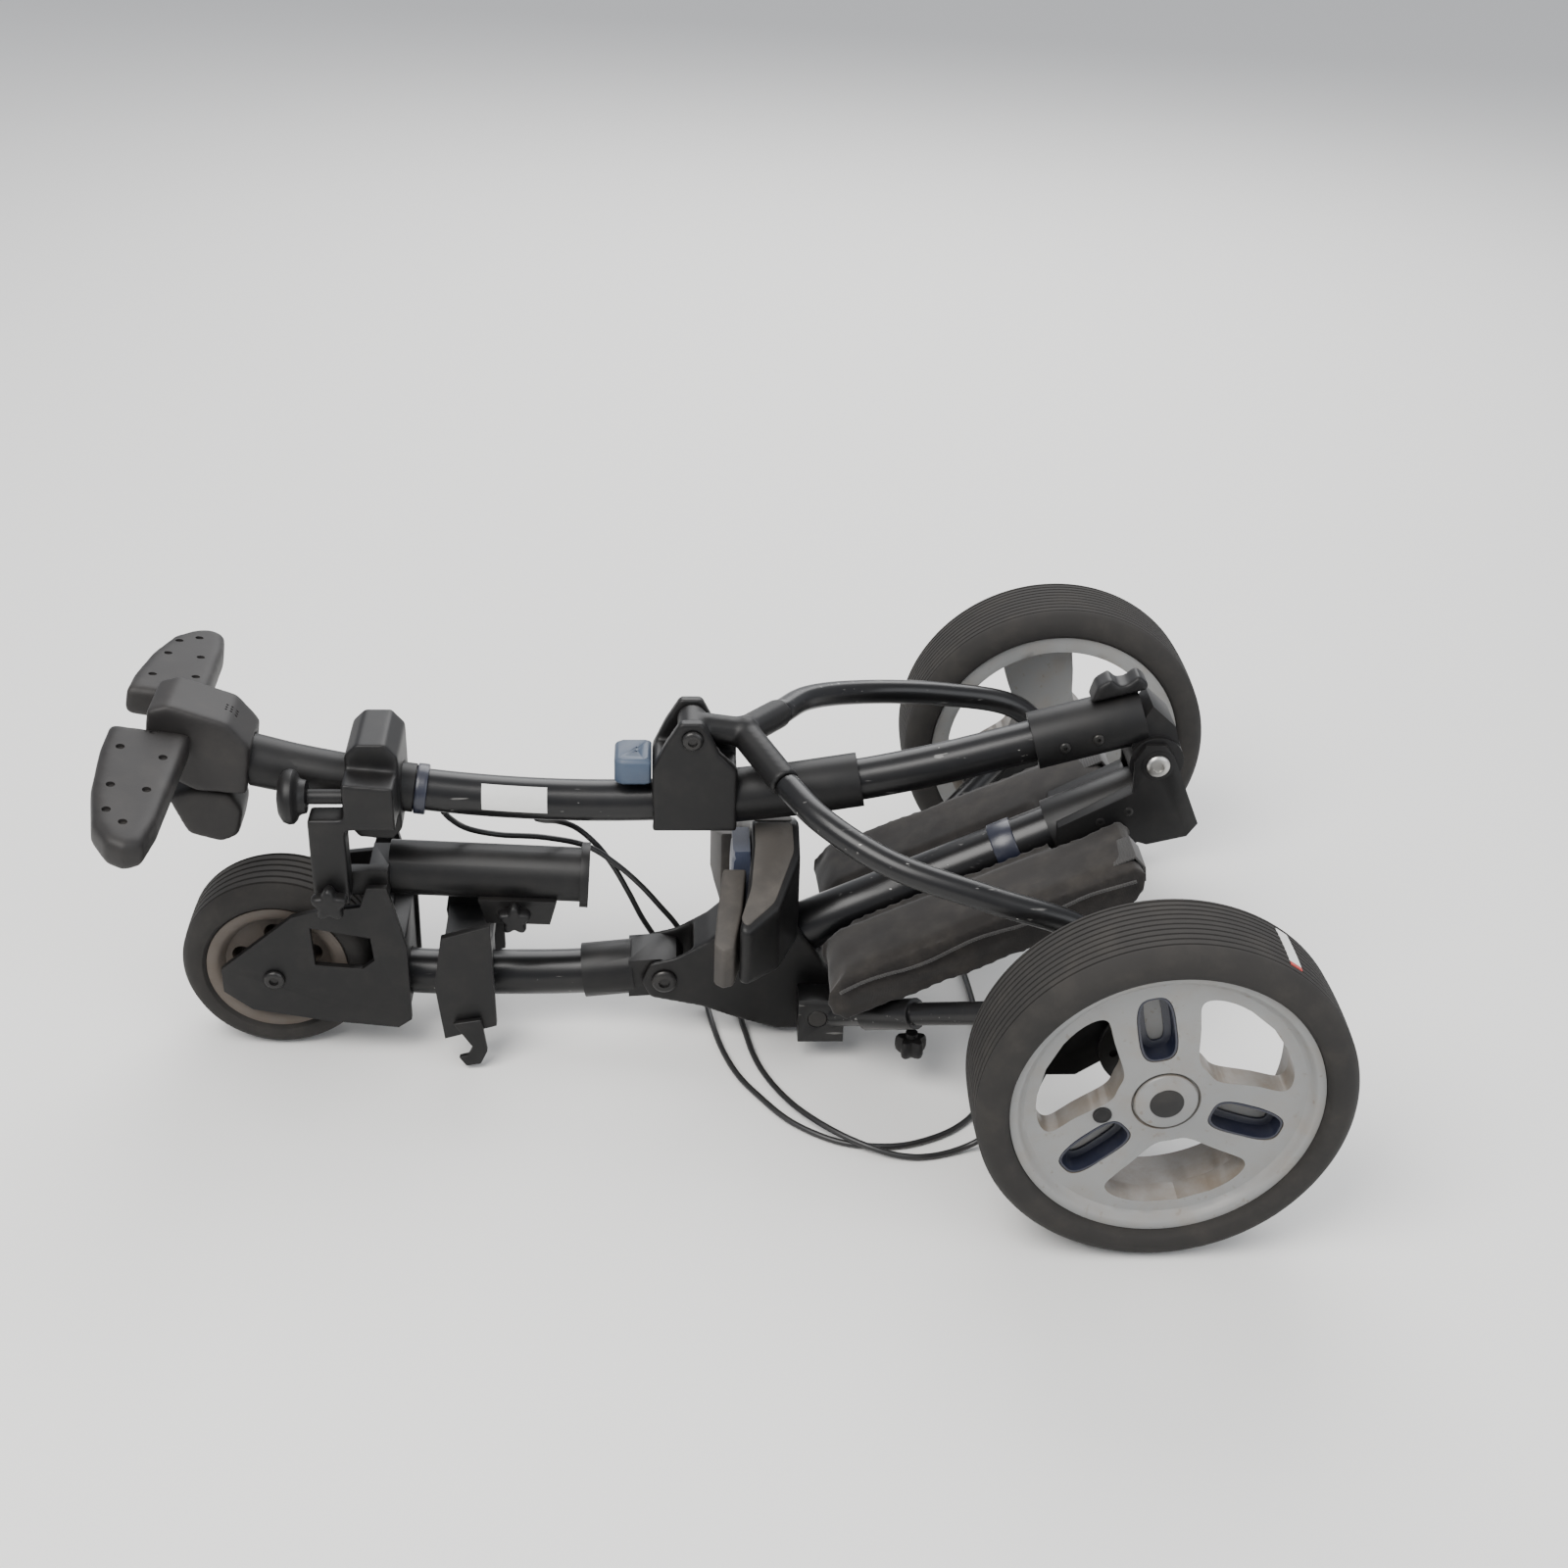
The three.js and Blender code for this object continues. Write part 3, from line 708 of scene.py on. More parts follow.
@dataclass
class Lines:
    """The centrelines of the main tubes, from the same sizes as the frame."""

    arc_x: float = -408.0
    arc_z: float = 1281.0
    arc_r: float = 1060.0
    straight_x: float = -110.0
    main_x: float = -243.0
    main_z: float = 99.0
    main_slope: float = 0.4728

    def shaft_z(self, x: float) -> float:
        """Height of the upper shaft's centre at X."""
        bend = min(x, self.straight_x)
        rise = math.sqrt(self.arc_r ** 2 - (bend - self.arc_x) ** 2)
        slope = (bend - self.arc_x) / rise
        return self.arc_z - rise + (x - bend) * slope

    def shaft(self, x0: float, x1: float, steps: int = 40) -> list[Point]:
        """Points along the upper shaft."""
        return [(x, 0.0, self.shaft_z(x))
                for x in (x0 + (x1 - x0) * i / steps for i in range(steps + 1))]

    def main(self, x: float, y: float = 0.0) -> Point:
        """A point on the main tube's centreline."""
        return (x, y, self.main_z + (x - self.main_x) * self.main_slope)


LINES = Lines()
FOLD = (31.0, 270.0)


@dataclass
class RearWheel:
    """A broad-spoked wheel with a ribbed foam tyre."""

    side: Side
    radius: float = 140.0
    half: float = 40.0
    track: float = 266.0
    rim: float = 114.6
    ribs: int = 5
    rib_pitch: float = 6.0
    spoke_angles: tuple[float, ...] = (102.0, 222.0, 342.0)
    opening_half: float = 41.0
    inner_half: float = 19.0
    crown_drop: float = 2.0
    crown_power: float = 2.2

    @property
    def centre(self) -> Point:
        """The middle of the wheel."""
        return (0.0, self.track * self.side.value, self.radius)

    @property
    def body(self) -> str:
        """The wheel's body."""
        return f"rear_wheel_{self.side.word}"

    def crown(self, y: float) -> float:
        """Radius of the tread at an offset from the wheel's middle."""
        return self.radius - self.crown_drop * (abs(y) / self.half) ** self.crown_power

    def tyre_profile(self) -> list[Point]:
        """Radius and offset round the tyre's section, with a groove between ribs."""
        half = [(115.2, self.half - 6.0), (116.6, self.half - 2.2), (119.0, self.half - 0.7),
                (124.0, self.half),
                (129.0, self.half - 0.7), (133.4, self.half - 3.0), (136.4, self.half - 6.6)]
        tread = []
        for i in range(2 * self.ribs, -2 * self.ribs - 1, -1):
            y = i * self.rib_pitch / 2
            crown = self.crown(y)
            if i % 2:
                tread += [(crown, y + 0.95), (crown - 1.5, y + 0.5), (crown - 1.5, y - 0.5),
                          (crown, y - 0.95)]
            else:
                tread += [(crown + 0.05, y)]
        return half + tread + [(r, -y) for r, y in reversed(half)]

    def polar(self, radius: float, degrees: float) -> Point:
        """X and Z at a radius and angle from the axle."""
        a = math.radians(degrees)
        return (radius * math.cos(a), self.radius + radius * math.sin(a))

    def make_rim(self) -> bpy.types.Object:
        """The rim's barrel and face with its openings and sunk spokes."""
        h = self.half
        profile = [
            (6.6, -h + 1), (19, -h + 1), (21, 2.0), (96.0, 5.0), (99.5, -h + 7), (106, -h + 5.4),
            (self.rim, -h + 5.4),
            (self.rim, h - 8.2), (110.2, h - 8.2), (108.2, h - 9.4), (106.6, 27.6), (103, 24.6),
            (70, 22.6),
            (27.5, 24.0), (25.5, 24.6), (24.2, 21.8), (6.6, 21.8),
        ]
        rim = Shop.lathe(f"rim_{self.side.word}", profile, self.centre, self.side.value, 120)
        for degrees in self.spoke_angles:
            carve(rim, Shop.slab("window", self.window(degrees + 60.0), *self.span(-6.0, 36.0),
                                 0.0))
        for degrees in self.spoke_angles:
            carve(rim, self.oval("pocket", degrees, 5.6, 40.0, 0.0))
        return round_edges(rim, 1.5, 35, 3)

    def window(self, degrees: float) -> list[Point]:
        """The outline of one window between two spokes, with rounded corners."""
        outline = []
        for i in range(72):
            t = math.tau * i / 72
            out, turn = squared(math.cos(t), 0.42), squared(math.sin(t), 0.42)
            radius = 66.2 + 28.6 * out
            half = self.inner_half + (self.opening_half - self.inner_half) * (0.5 + out / 2) ** 0.75
            outline.append(self.polar(radius, degrees + half * turn))
        return outline

    def span(self, low: float, high: float) -> list[float]:
        """Y from one offset of the wheel's middle to another, in rising order."""
        return sorted((self.centre[1] + low * self.side.value,
                       self.centre[1] + high * self.side.value))

    def oval(self, name: str, degrees: float, low: float, high: float,
             shrink: float) -> bpy.types.Object:
        """A long rounded block on a spoke, between two offsets from the wheel's middle."""
        along, across = 28.5 - shrink, 14.0 - shrink
        a = math.radians(degrees)
        cx, cz = self.polar(64.5, degrees)
        outline = []
        for i in range(48):
            t = math.tau * i / 48
            u = along * squared(math.cos(t), 0.62)
            v = across * squared(math.sin(t), 0.62) * (1.0 - 0.05 * math.cos(t))
            outline.append((cx + u * math.cos(a) - v * math.sin(a),
                            cz + u * math.sin(a) + v * math.cos(a)))
        return Shop.slab(name, outline, *self.span(low, high), 0.0)

    def make_insets(self) -> None:
        """The navy trays sunk in the spokes, with a slot through each floor."""
        for number, degrees in enumerate(self.spoke_angles):
            tray = self.oval(f"spoke_tray_{self.side.word}_{number}", degrees, 6.0, 23.4, 0.4)
            carve(tray, self.oval("hollow", degrees, 8.4, 40.0, 2.2),
                  self.oval("slot", degrees, -9.0, 30.0, 7.6))
            Shop.dress(round_edges(tray, 0.5, 40, 2), NAVY, self.body, "navy_plastic")

    def make(self) -> None:
        """Builds and dresses the wheel."""
        word = self.side.word
        sign = self.side.value
        tyre = Shop.lathe(f"tyre_{word}", self.tyre_profile(), self.centre, sign, 160, angle=38)
        Shop.dress(tyre, TYRE, self.body, "tyre_rubber", f"rear_tyre_{word}")
        Shop.dress(self.make_rim(), RIM, self.body, "rim_grey", f"rear_rim_{word}",
                   f"rear_spokes_{word}")
        self.make_insets()
        cap = [(0.05, 27.6), (13.0, 27.6), (13.6, 27.4), (20.0, 26.8), (22.6, 26.0), (23.4, 24.9),
               (23.4, 22.6),
               (0.05, 22.6)]
        Shop.dress(Shop.lathe(f"cap_{word}", cap, self.centre, sign, 64), RIM, self.body,
                   "rim_grey", f"hub_cap_{word}")
        badge = [(0.05, 28.5), (11.4, 28.3), (12.4, 27.9), (12.8, 27.2), (0.05, 27.2)]
        Shop.dress(Shop.lathe(f"cap_badge_{word}", badge, self.centre, sign, 48), DARK_STEEL,
                   self.body, "steel")
        Shop.dress(self.disc(), DARK_STEEL, self.body, "steel", f"brake_disc_{word}")
        spot = self.polar(47.0, 196.0)
        centre = (spot[0], self.centre[1], spot[1])
        mark = [(0.05, 22.3), (7.0, 22.3), (7.0, 24.1), (6.2, 24.6), (5.0, 24.2), (4.4, 24.2),
                (3.8, 24.5), (0.05, 24.5)]
        Shop.dress(Shop.lathe(f"spoke_mark_{word}", mark, centre, sign, 32), PLASTIC, self.body,
                   "plastic_black")
        if self.side is Side.NEAR:
            self.make_tape()

    def make_tape(self) -> None:
        """A plain sticker over the tread and a red edge on it."""
        for name, finish, low, high in (("tyre_tape", LABEL, -24.0, 17.0),
                                        ("tyre_tape_edge", RED, 17.4, 21.0)):
            rings = []
            for i in range(9):
                y = low + (high - low) * i / 8
                crown = self.crown(y)
                ring = [self.polar(crown - 0.3, 53.0 + k * 1.1) for k in range(5)]
                ring += [self.polar(crown + 0.35, 57.4 - k * 1.1) for k in range(5)]
                rings.append([(x, self.centre[1] + y * self.side.value, z) for x, z in ring])
            Shop.dress(smooth(Shop.loft(name, rings), 50), finish, self.body, "tyre_rubber")

    def disc(self) -> bpy.types.Object:
        """The brake disc with a ring of holes."""
        h = self.half
        profile = [(6.6, -h + 0.4), (6.6, -h - 2.8), (37.2, -h - 2.8), (38, -h - 2.2),
                   (38, -h - 0.2), (37.2, -h + 0.4)]
        disc = Shop.lathe(f"disc_{self.side.word}", profile, self.centre, self.side.value, 72)
        for i in range(8):
            x, z = self.polar(27.0, 45.0 * i + 12)
            hole = [(0.05, -h - 8), (3.2, -h - 8), (3.2, -h + 8), (0.05, -h + 8)]
            carve(disc, Shop.lathe("hole", hole, (x, self.centre[1], z), self.side.value, 20))
        return smooth(disc, 35)


@dataclass
class FrontWheel:
    """The small front wheel."""

    x: float = -680.0
    radius: float = 78.4
    half: float = 34.0
    rim: float = 57.4

    def make(self) -> None:
        """Builds and dresses the wheel."""
        centre = (self.x, 0.0, self.radius)
        h = self.half
        half = [(58.0, h - 4.2), (60.5, h - 1.0), (64.0, h - 0.1), (69.0, h - 0.6), (73.5, h - 3.4),
                (76.2, h - 8.0)]
        tread = []
        for i in range(5, -6, -1):
            y = i * 4.3
            crown = self.radius - 1.2 * (abs(y) / h) ** 2
            if i % 2:
                tread += [(crown, y + 1.4), (crown - 1.9, y + 0.7), (crown - 1.9, y - 0.7),
                          (crown, y - 1.4)]
            else:
                tread += [(crown, y)]
        profile = half + tread + [(r, -y) for r, y in reversed(half)]
        Shop.dress(Shop.lathe("front_tyre_foam", profile, centre, 1, 120), TYRE, "front_wheel",
                   "tyre_rubber", "front_tyre")
        face = [(5.6, h - 4.6), (13, h - 4.6), (15.5, h - 9.5), (43, h - 11.5), (47, h - 5),
                (50, h - 3.4), (self.rim, h - 3.4)]
        rim = Shop.lathe("front_rim_disc", face + [(r, -y) for r, y in reversed(face)], centre, 1,
                         96)
        for i in range(5):
            a = math.radians(72 * i + 20)
            spot = (self.x + 30 * math.cos(a), 0.0, self.radius + 30 * math.sin(a))
            hole = [(0.05, -60), (8.4, -60), (8.4, 60), (0.05, 60)]
            carve(rim, Shop.lathe("hole", hole, spot, 1, 28))
        Shop.dress(round_edges(rim, 0.8, 45, 2), OLD_RIM, "front_wheel", "rim_grey", "front_rim")


@dataclass
class Tubes:
    """The long round tubes and the navy rings on them."""

    leg_route: tuple[Point, ...] = ((-267.4, 59.2, 269.7), (-242, 100, 262), (-191, 140, 247),
                                    (-118, 165, 232),
                                    (-52, 177, 214), (-22, 181, 186), (-6, 182, 152))

    def make(self) -> None:
        """Builds and dresses the tubes."""
        main = Shop.tube("main_tube_skin", [LINES.main(-321.8 + i * 34.1) for i in range(11)], 21.0)
        Shop.dress(main, FRAME, "lower_frame", "frame_black", "main_tube")
        upper = Shop.tube("upper_tube_skin", LINES.shaft(-640, -20.5, 60), 17.0)
        Shop.dress(upper, FRAME, "upper_shaft", "frame_black", "upper_tube")
        front = curve_through([(-596, 0, 57), (-560, 0, 53.5), (-500, 0, 52.5), (-430, 0, 53.5),
                               (-392, 0, 58)])
        Shop.dress(Shop.tube("front_leg_skin", front, 19.0), FRAME, "front_leg", "frame_black",
                   "front_leg_tube")
        for side in Side:
            route = curve_through([(x, y * side.value, z) for x, y, z in self.leg_route])
            leg = Shop.tube(f"leg_{side.word}", route, 10.5, 32)
            eye_spot = (0, 176 * side.value, 140)
            eye = [(0.05, 0), (14, 0), (15, 1), (15, 20), (14, 21), (0.05, 21)]
            carve(leg, Shop.lathe("eye", eye, eye_spot, side.value, 48), operation="UNION")
            Shop.dress(smooth(leg, 40), FRAME, "rear_legs", "frame_black", f"rear_leg_{side.word}")
        low, high = LINES.main(-88), LINES.main(-70)
        ring = Shop.tube("lower_ring", [low, high], 22.6, 48)
        Shop.dress(ring, NAVY, "lower_frame", "navy_plastic")
        ring = Shop.tube("handle_ring", LINES.shaft(-561.4, -552, 3), 20.6, 48)
        Shop.dress(ring, NAVY, "upper_shaft", "navy_plastic")


CROWNED = {"accessory_clamp": 12, "hub_casting": 14, "slider_housing": 8, "shaft_latch": 8,
           "cradle_shell": 8,
           "leg_yoke": 8}


def softened_castings() -> None:
    """Moulded and cast parts that keep the frame's shape with rounded edges."""
    parts = [
        ("lower_knuckle", "lower_frame", PLASTIC, "plastic_black", 1.6),
        ("hub_casting", "lower_frame", PLASTIC, "plastic_black", 2.6),
        ("front_leg_socket", "front_leg", PLASTIC, "plastic_black", 1.0),
        ("fork_plate_near", "front_leg", PLASTIC, "plastic_black", 1.4),
        ("fork_plate_far", "front_leg", PLASTIC, "plastic_black", 1.4),
        ("fork_bridge", "front_leg", PLASTIC, "plastic_black", 1.4),
        ("strap_bracket", "front_leg", PLASTIC, "pad_brown", 2.2),
        ("strap_hook", "strap_hook", PLASTIC, "plastic_black", 1.2),
        ("shaft_latch", "shaft_latch", PLASTIC, "plastic_black", 1.8),
        ("handle_stem", "handle", PLASTIC, "plastic_black", 0.6),
        ("accessory_clamp", "handle", PLASTIC, "plastic_black", 2.0),
        ("slider_sleeve", "slider", PLASTIC, "plastic_black", 0.5),
        ("slider_housing", "slider", PLASTIC, "plastic_black", 2.2),
        ("leg_yoke", "rear_legs", PLASTIC, "plastic_black", 1.5),
        ("strut_cross_tube", "rear_struts", DARK_STEEL, "steel", 0.5),
        ("strut_near", "rear_struts", FRAME, "frame_black", 1.0),
        ("strut_far", "rear_struts", FRAME, "frame_black", 1.0),
        ("axle_carrier_near", "rear_struts", PLASTIC, "plastic_black", 1.4),
        ("axle_carrier_far", "rear_struts", PLASTIC, "plastic_black", 1.4),
        ("cradle_shell", "lower_frame", PLASTIC, "plastic_black", 3.0),
    ]
    for node, body, finish, slot, width in parts:
        piece = from_node(node, f"{node}_skin", width)
        if node in CROWNED:
            crowned(piece, 1.6, CROWNED[node])
        Shop.dress(piece, finish, body, slot, node)


@dataclass
class Fasteners:
    """Bolts, screws, a washer and a navy eye."""

    def head(self, name: str, spot: Point, y: float, radius: float, finish: Finish, body: str,
             thick: float = 2.0,
             socket: float = 0.38, slot: str = "steel") -> None:
        """One button head with a hexagonal socket, on the near side if Y is negative.

        Args:
            name: the piece's name.
            spot: X and Z of its centre.
            y: the face it stands on.
            radius: of the head.
            finish: its finish.
            body: what it moves with.
            thick: how far it stands out.
            socket: the socket's radius as a share of the head's.
            slot: its material slot, which is not used.
        """
        sign = -1 if y < 0 else 1
        inner = radius * socket
        profile = [(0.05, -0.6), (radius, -0.6), (radius, thick * 0.45),
                   (radius * 0.86, thick * 0.85),
                   (radius * 0.62, thick), (inner, thick), (inner * 0.94, thick * 0.2),
                   (0.05, thick * 0.2)]
        head = Shop.lathe(name, profile, (spot[0], y, spot[1]), sign, 36)
        Shop.dress(head, finish, body, slot)

    def bolt(self, node: str, spot: Point, face: float, head: float, shank: float, finish: Finish,
             body: str,
             thick: float) -> None:
        """A bolt right across, with a domed head at each end, in place of a node.

        Args:
            node: the node it replaces.
            spot: X and Z of its axis.
            face: how far out the heads start.
            head: their radius.
            shank: the shank's radius.
            finish: its finish.
            body: what it moves with.
            thick: how thick the heads are.
        """
        end = face + thick
        profile = [(0.05, -end + thick * 0.6), (head * 0.42, -end + thick * 0.6),
                   (head * 0.45, -end),
                   (head * 0.7, -end), (head * 0.92, -end + thick * 0.3),
                   (head, -end + thick * 0.62), (head, -face),
                   (shank, -face)]
        whole = profile + [(r, -y) for r, y in reversed(profile)]
        Shop.dress(Shop.lathe(f"{node}_turned", whole, (spot[0], 0, spot[1]), 1, 48), finish, body,
                   "steel", node)

    def make(self) -> None:
        """Builds them all."""
        self.bolt("fold_bolt", FOLD, 29.2, 9.5, 5.0, STEEL, "lower_frame", 3.6)
        self.bolt("leg_pivot_bolt", (-362, 60), 25.7, 10.5, 6.0, DARK_STEEL, "lower_frame", 3.6)
        self.bolt("yoke_pin", (-340, 290), 25.7, 8.5, 4.6, DARK_STEEL, "slider", 3.6)
        self.bolt("front_axle", (-680, 78.4), 46.9, 8.5, 4.6, DARK_STEEL, "front_leg", 3.8)
        for i, x in enumerate((-44, -18)):
            self.head(f"upper_screw_{i}", (x, LINES.shaft_z(x)), -23.2, 4.4, DARK_STEEL,
                      "upper_shaft")
        self.head("clamp_eye", (-591, 262), -30.4, 6.0, NAVY, "handle", 1.2, 0.7, "navy_plastic")
        self.head("fold_washer", FOLD, -28.7, 13.0, PLASTIC, "lower_frame", 0.9, 0.8,
                  "plastic_black")
        for i, spot in enumerate(((-10, 217), (12, 227))):
            self.head(f"lower_screw_{i}", spot, -27.0, 4.4, DARK_STEEL, "lower_frame")
            self.head(f"lower_screw_far_{i}", spot, 27.0, 4.4, DARK_STEEL, "lower_frame")


@dataclass
class Knobs:
    """The hand knobs."""

    def star(self, node: str, centre: Point, radius: float, low: float, high: float, axis: str,
             stem: float,
             stem_end: float, lobes: int = 5, sign: int = 1) -> None:
        """A lobed knob with a stem, in place of a node.

        Args:
            node: the node and the body, which share the name.
            centre: a point on its axis.
            radius: over the lobes.
            low: where its head starts along the axis.
            high: where it ends.
            axis: the axis, X, Y or Z.
            stem: the stem's radius.
            stem_end: where the stem ends.
            lobes: how many lobes it has.
            sign: -1 where the head's outer face is towards low.
        """
        rings = []
        thick = high - low
        for share, size in ((0.0, 0.86), (0.12, 0.96), (0.3, 1.0), (0.62, 1.0), (0.85, 0.93),
                            (0.97, 0.8), (1.0, 0.6)):
            ring = []
            for i in range(80):
                a = math.tau * i / 80
                r = (radius - 2.4 + 2.4 * math.cos(lobes * a)) * size
                w = low + thick * share if sign > 0 else high - thick * share
                ring.append(turned(centre, axis, r, a, w))
            rings.append(ring)
        knob = Shop.loft(f"{node}_star", rings)
        foot = low if sign > 0 else high
        span = sorted((foot + 0.5 * sign, stem_end))
        shaft = [(0.02, span[0]), (stem, span[0]), (stem, span[1]), (0.02, span[1])]
        carve(knob, Shop.lathe("stem", shaft, centre, 1, 32, axis), operation="UNION")
        Shop.dress(smooth(knob, 50), PLASTIC, node, "plastic_black", node)

    def make(self) -> None:
        """Builds the four knobs."""
        self.star("umbrella_knob", (-484, 0, 130), 14.0, -42.0, -30.0, "Y", 5.0, -24.4, sign=-1)
        self.star("post_knob", (-626, 0, 166), 15.0, -74.0, -62.0, "Y", 5.0, -58.4, sign=-1)
        low, high = (v * 1000 for v in (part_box("strut_knob")[0].z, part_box("strut_knob")[1].z))
        self.star("strut_knob", (-160, -92, 0), 13.5, low, high - 5.0, "Z", 5.0, high, sign=-1)
        cap = [(0.02, -662.0), (9, -662), (15.5, -660.6), (20.2, -657.4), (21.8, -653.4),
               (21.4, -649.8), (18.8, -647.4),
               (15.4, -646.2), (13.8, -643.6), (13, -640.2), (8.2, -640), (6, -639), (6, -612.6),
               (0.02, -612.6)]
        knob = Shop.lathe("clamp_knob_turned", cap, (0, -46, 251), 1, 56, "X", 40)
        Shop.dress(knob, PLASTIC, "clamp_knob", "plastic_black", "clamp_knob")


@dataclass
class Handle:
    """The two grip wings and the console between them."""

    dimples: tuple[Point, ...] = ((-754, 150), (-771, 108), (-745, 108.5), (-773.5, 60),
                                  (-741, 66.5), (-753.5, 35),
                                  (-768, 138))
    depth: float = 2.4

    def surface(self, x: float, y: float) -> float:
        """Height of a wing's top at X and Y."""
        return 306.8 - (x + 760) * 0.161 - 0.1 * abs(y)

    def make(self) -> None:
        """Builds the wings with their dimples and the console with its details."""
        for side in Side:
            node = f"grip_{side.word}"
            wing = crowned(from_node(node, f"{node}_wing", 3.0))
            for x, y in self.dimples:
                top = self.surface(x, y)
                cutter = [(0.02, top - self.depth), (3.2, top - self.depth + 0.8), (4.1, top + 14),
                          (0.02, top + 14)]
                carve(wing, Shop.lathe("dimple", cutter, (x, y * side.value, 0), 1, 20, "Z"))
            Shop.dress(smooth(wing, 42), GRIP, "handle", "grip_grey", node)
        console = crowned(from_node("handle_console", "console", 4.0))
        for i in range(9):
            x, y = -704.0 + (i % 3) * 3.6, -3.6 + (i // 3) * 3.6
            carve(console,
                  Shop.lathe("hole", [(0.02, 200), (0.95, 200), (0.95, 400), (0.02, 400)],
                             (x, y, 0), 1, 12, "Z"))
        Shop.dress(smooth(console, 42), GRIP, "handle", "grip_grey", "handle_console")
        neck = [shaft_ring(x, size) for x,
                size in ((-690, 21.5), (-676, 21.2), (-660, 20.6), (-648, 20.2))]
        Shop.dress(smooth(Shop.loft("console_neck", neck), 40), PLASTIC, "handle", "plastic_black")
        lever = crowned(from_node("brake_lever", "brake_lever_hood", 3.0))
        Shop.dress(lever, GRIP, "brake_lever", "plastic_black", "brake_lever")


def shaft_ring(x: float, radius: float) -> list[Point]:
    """A ring round the upper shaft's centreline at X."""
    z = LINES.shaft_z(x)
    return [(x, radius * math.cos(math.tau * i / 40), z + radius * math.sin(math.tau * i / 40))
            for i in range(40)]


@dataclass
class Slider:
    """The slider's release button."""

    def make(self) -> None:
        """Builds the button with its two holes."""
        button = from_node("release_button", "button_cap", 2.2)
        for y in (-3.0, 3.0):
            hole = [(0.02, 264.5), (1.2, 264.5), (1.2, 290), (0.02, 290)]
            carve(button, Shop.lathe("hole", hole, (-384, y, 0), 1, 16, "Z"))
        Shop.dress(smooth(button, 42), SLATE, "release_button", "slate_plastic", "release_button")


@dataclass
class Cradle:
    """The pads, the covers and the elastic of the saddle that a bag leans on."""

    def make_pad(self, side: Side) -> None:
        """One plain pad with rounded edges."""
        node = f"cradle_pad_{side.word}"
        pad = from_node(node, f"{node}_leaf", 3.0, 24)
        Shop.dress(smooth(pad, 45), PAD, "lower_frame", "pad_brown", node)

    def make_elastic(self) -> None:
        """The band, bowed and hemmed, between the pads."""
        rings = []
        for i in range(21):
            z = 118.4 + 65.2 * i / 20
            bow = 1.6 * math.sin(math.pi * i / 20)
            tuck = 1.2 if i in (2, 18) else 0.0
            x0, x1 = -306.2 - bow + tuck, -292.2
            ring = [(x0 + 1.6, -19.4), (x0, -16), (x0 - 0.1, -6), (x0 - 0.1, 6), (x0, 16),
                    (x0 + 1.6, 19.4), (x1, 19.4),
                    (x1, -19.4)]
            rings.append([(x, y, z) for x, y in ring])
        band = smooth(Shop.loft("elastic_band", rings), 45)
        Shop.dress(band, ELASTIC, "lower_frame", "elastic_blue", "cradle_elastic")

    def make_top(self) -> None:
        """Plain brown covers on the sloping top of the shell."""
        for side in Side:
            outline = [(-301.5, 84), (-292.5, 58), (-288.5, 22), (-288.5, 1.2), (-258, 1.2),
                       (-257, 27), (-274, 70),
                       (-296.5, 90)]
            outline = rounded_outline(outline, 4.0, 3)
            lift = [(x, y * side.value, 202.0 - 0.4954 * y) for x, y in outline]
            rings = [[(x, y, min(z, 200.0) - 1.0) for x, y, z in lift],
                     [(x, y, min(z, 200.0) + 0.9) for x, y, z in lift]]
            cover = Shop.loft(f"cradle_cover_{side.word}", rings)
            Shop.dress(round_edges(cover, 0.7, 40, 2), PAD, "lower_frame", "pad_brown")

    def make(self) -> None:
        """Builds the saddle's pieces."""
        for side in Side:
            self.make_pad(side)
        self.make_top()
        self.make_elastic()


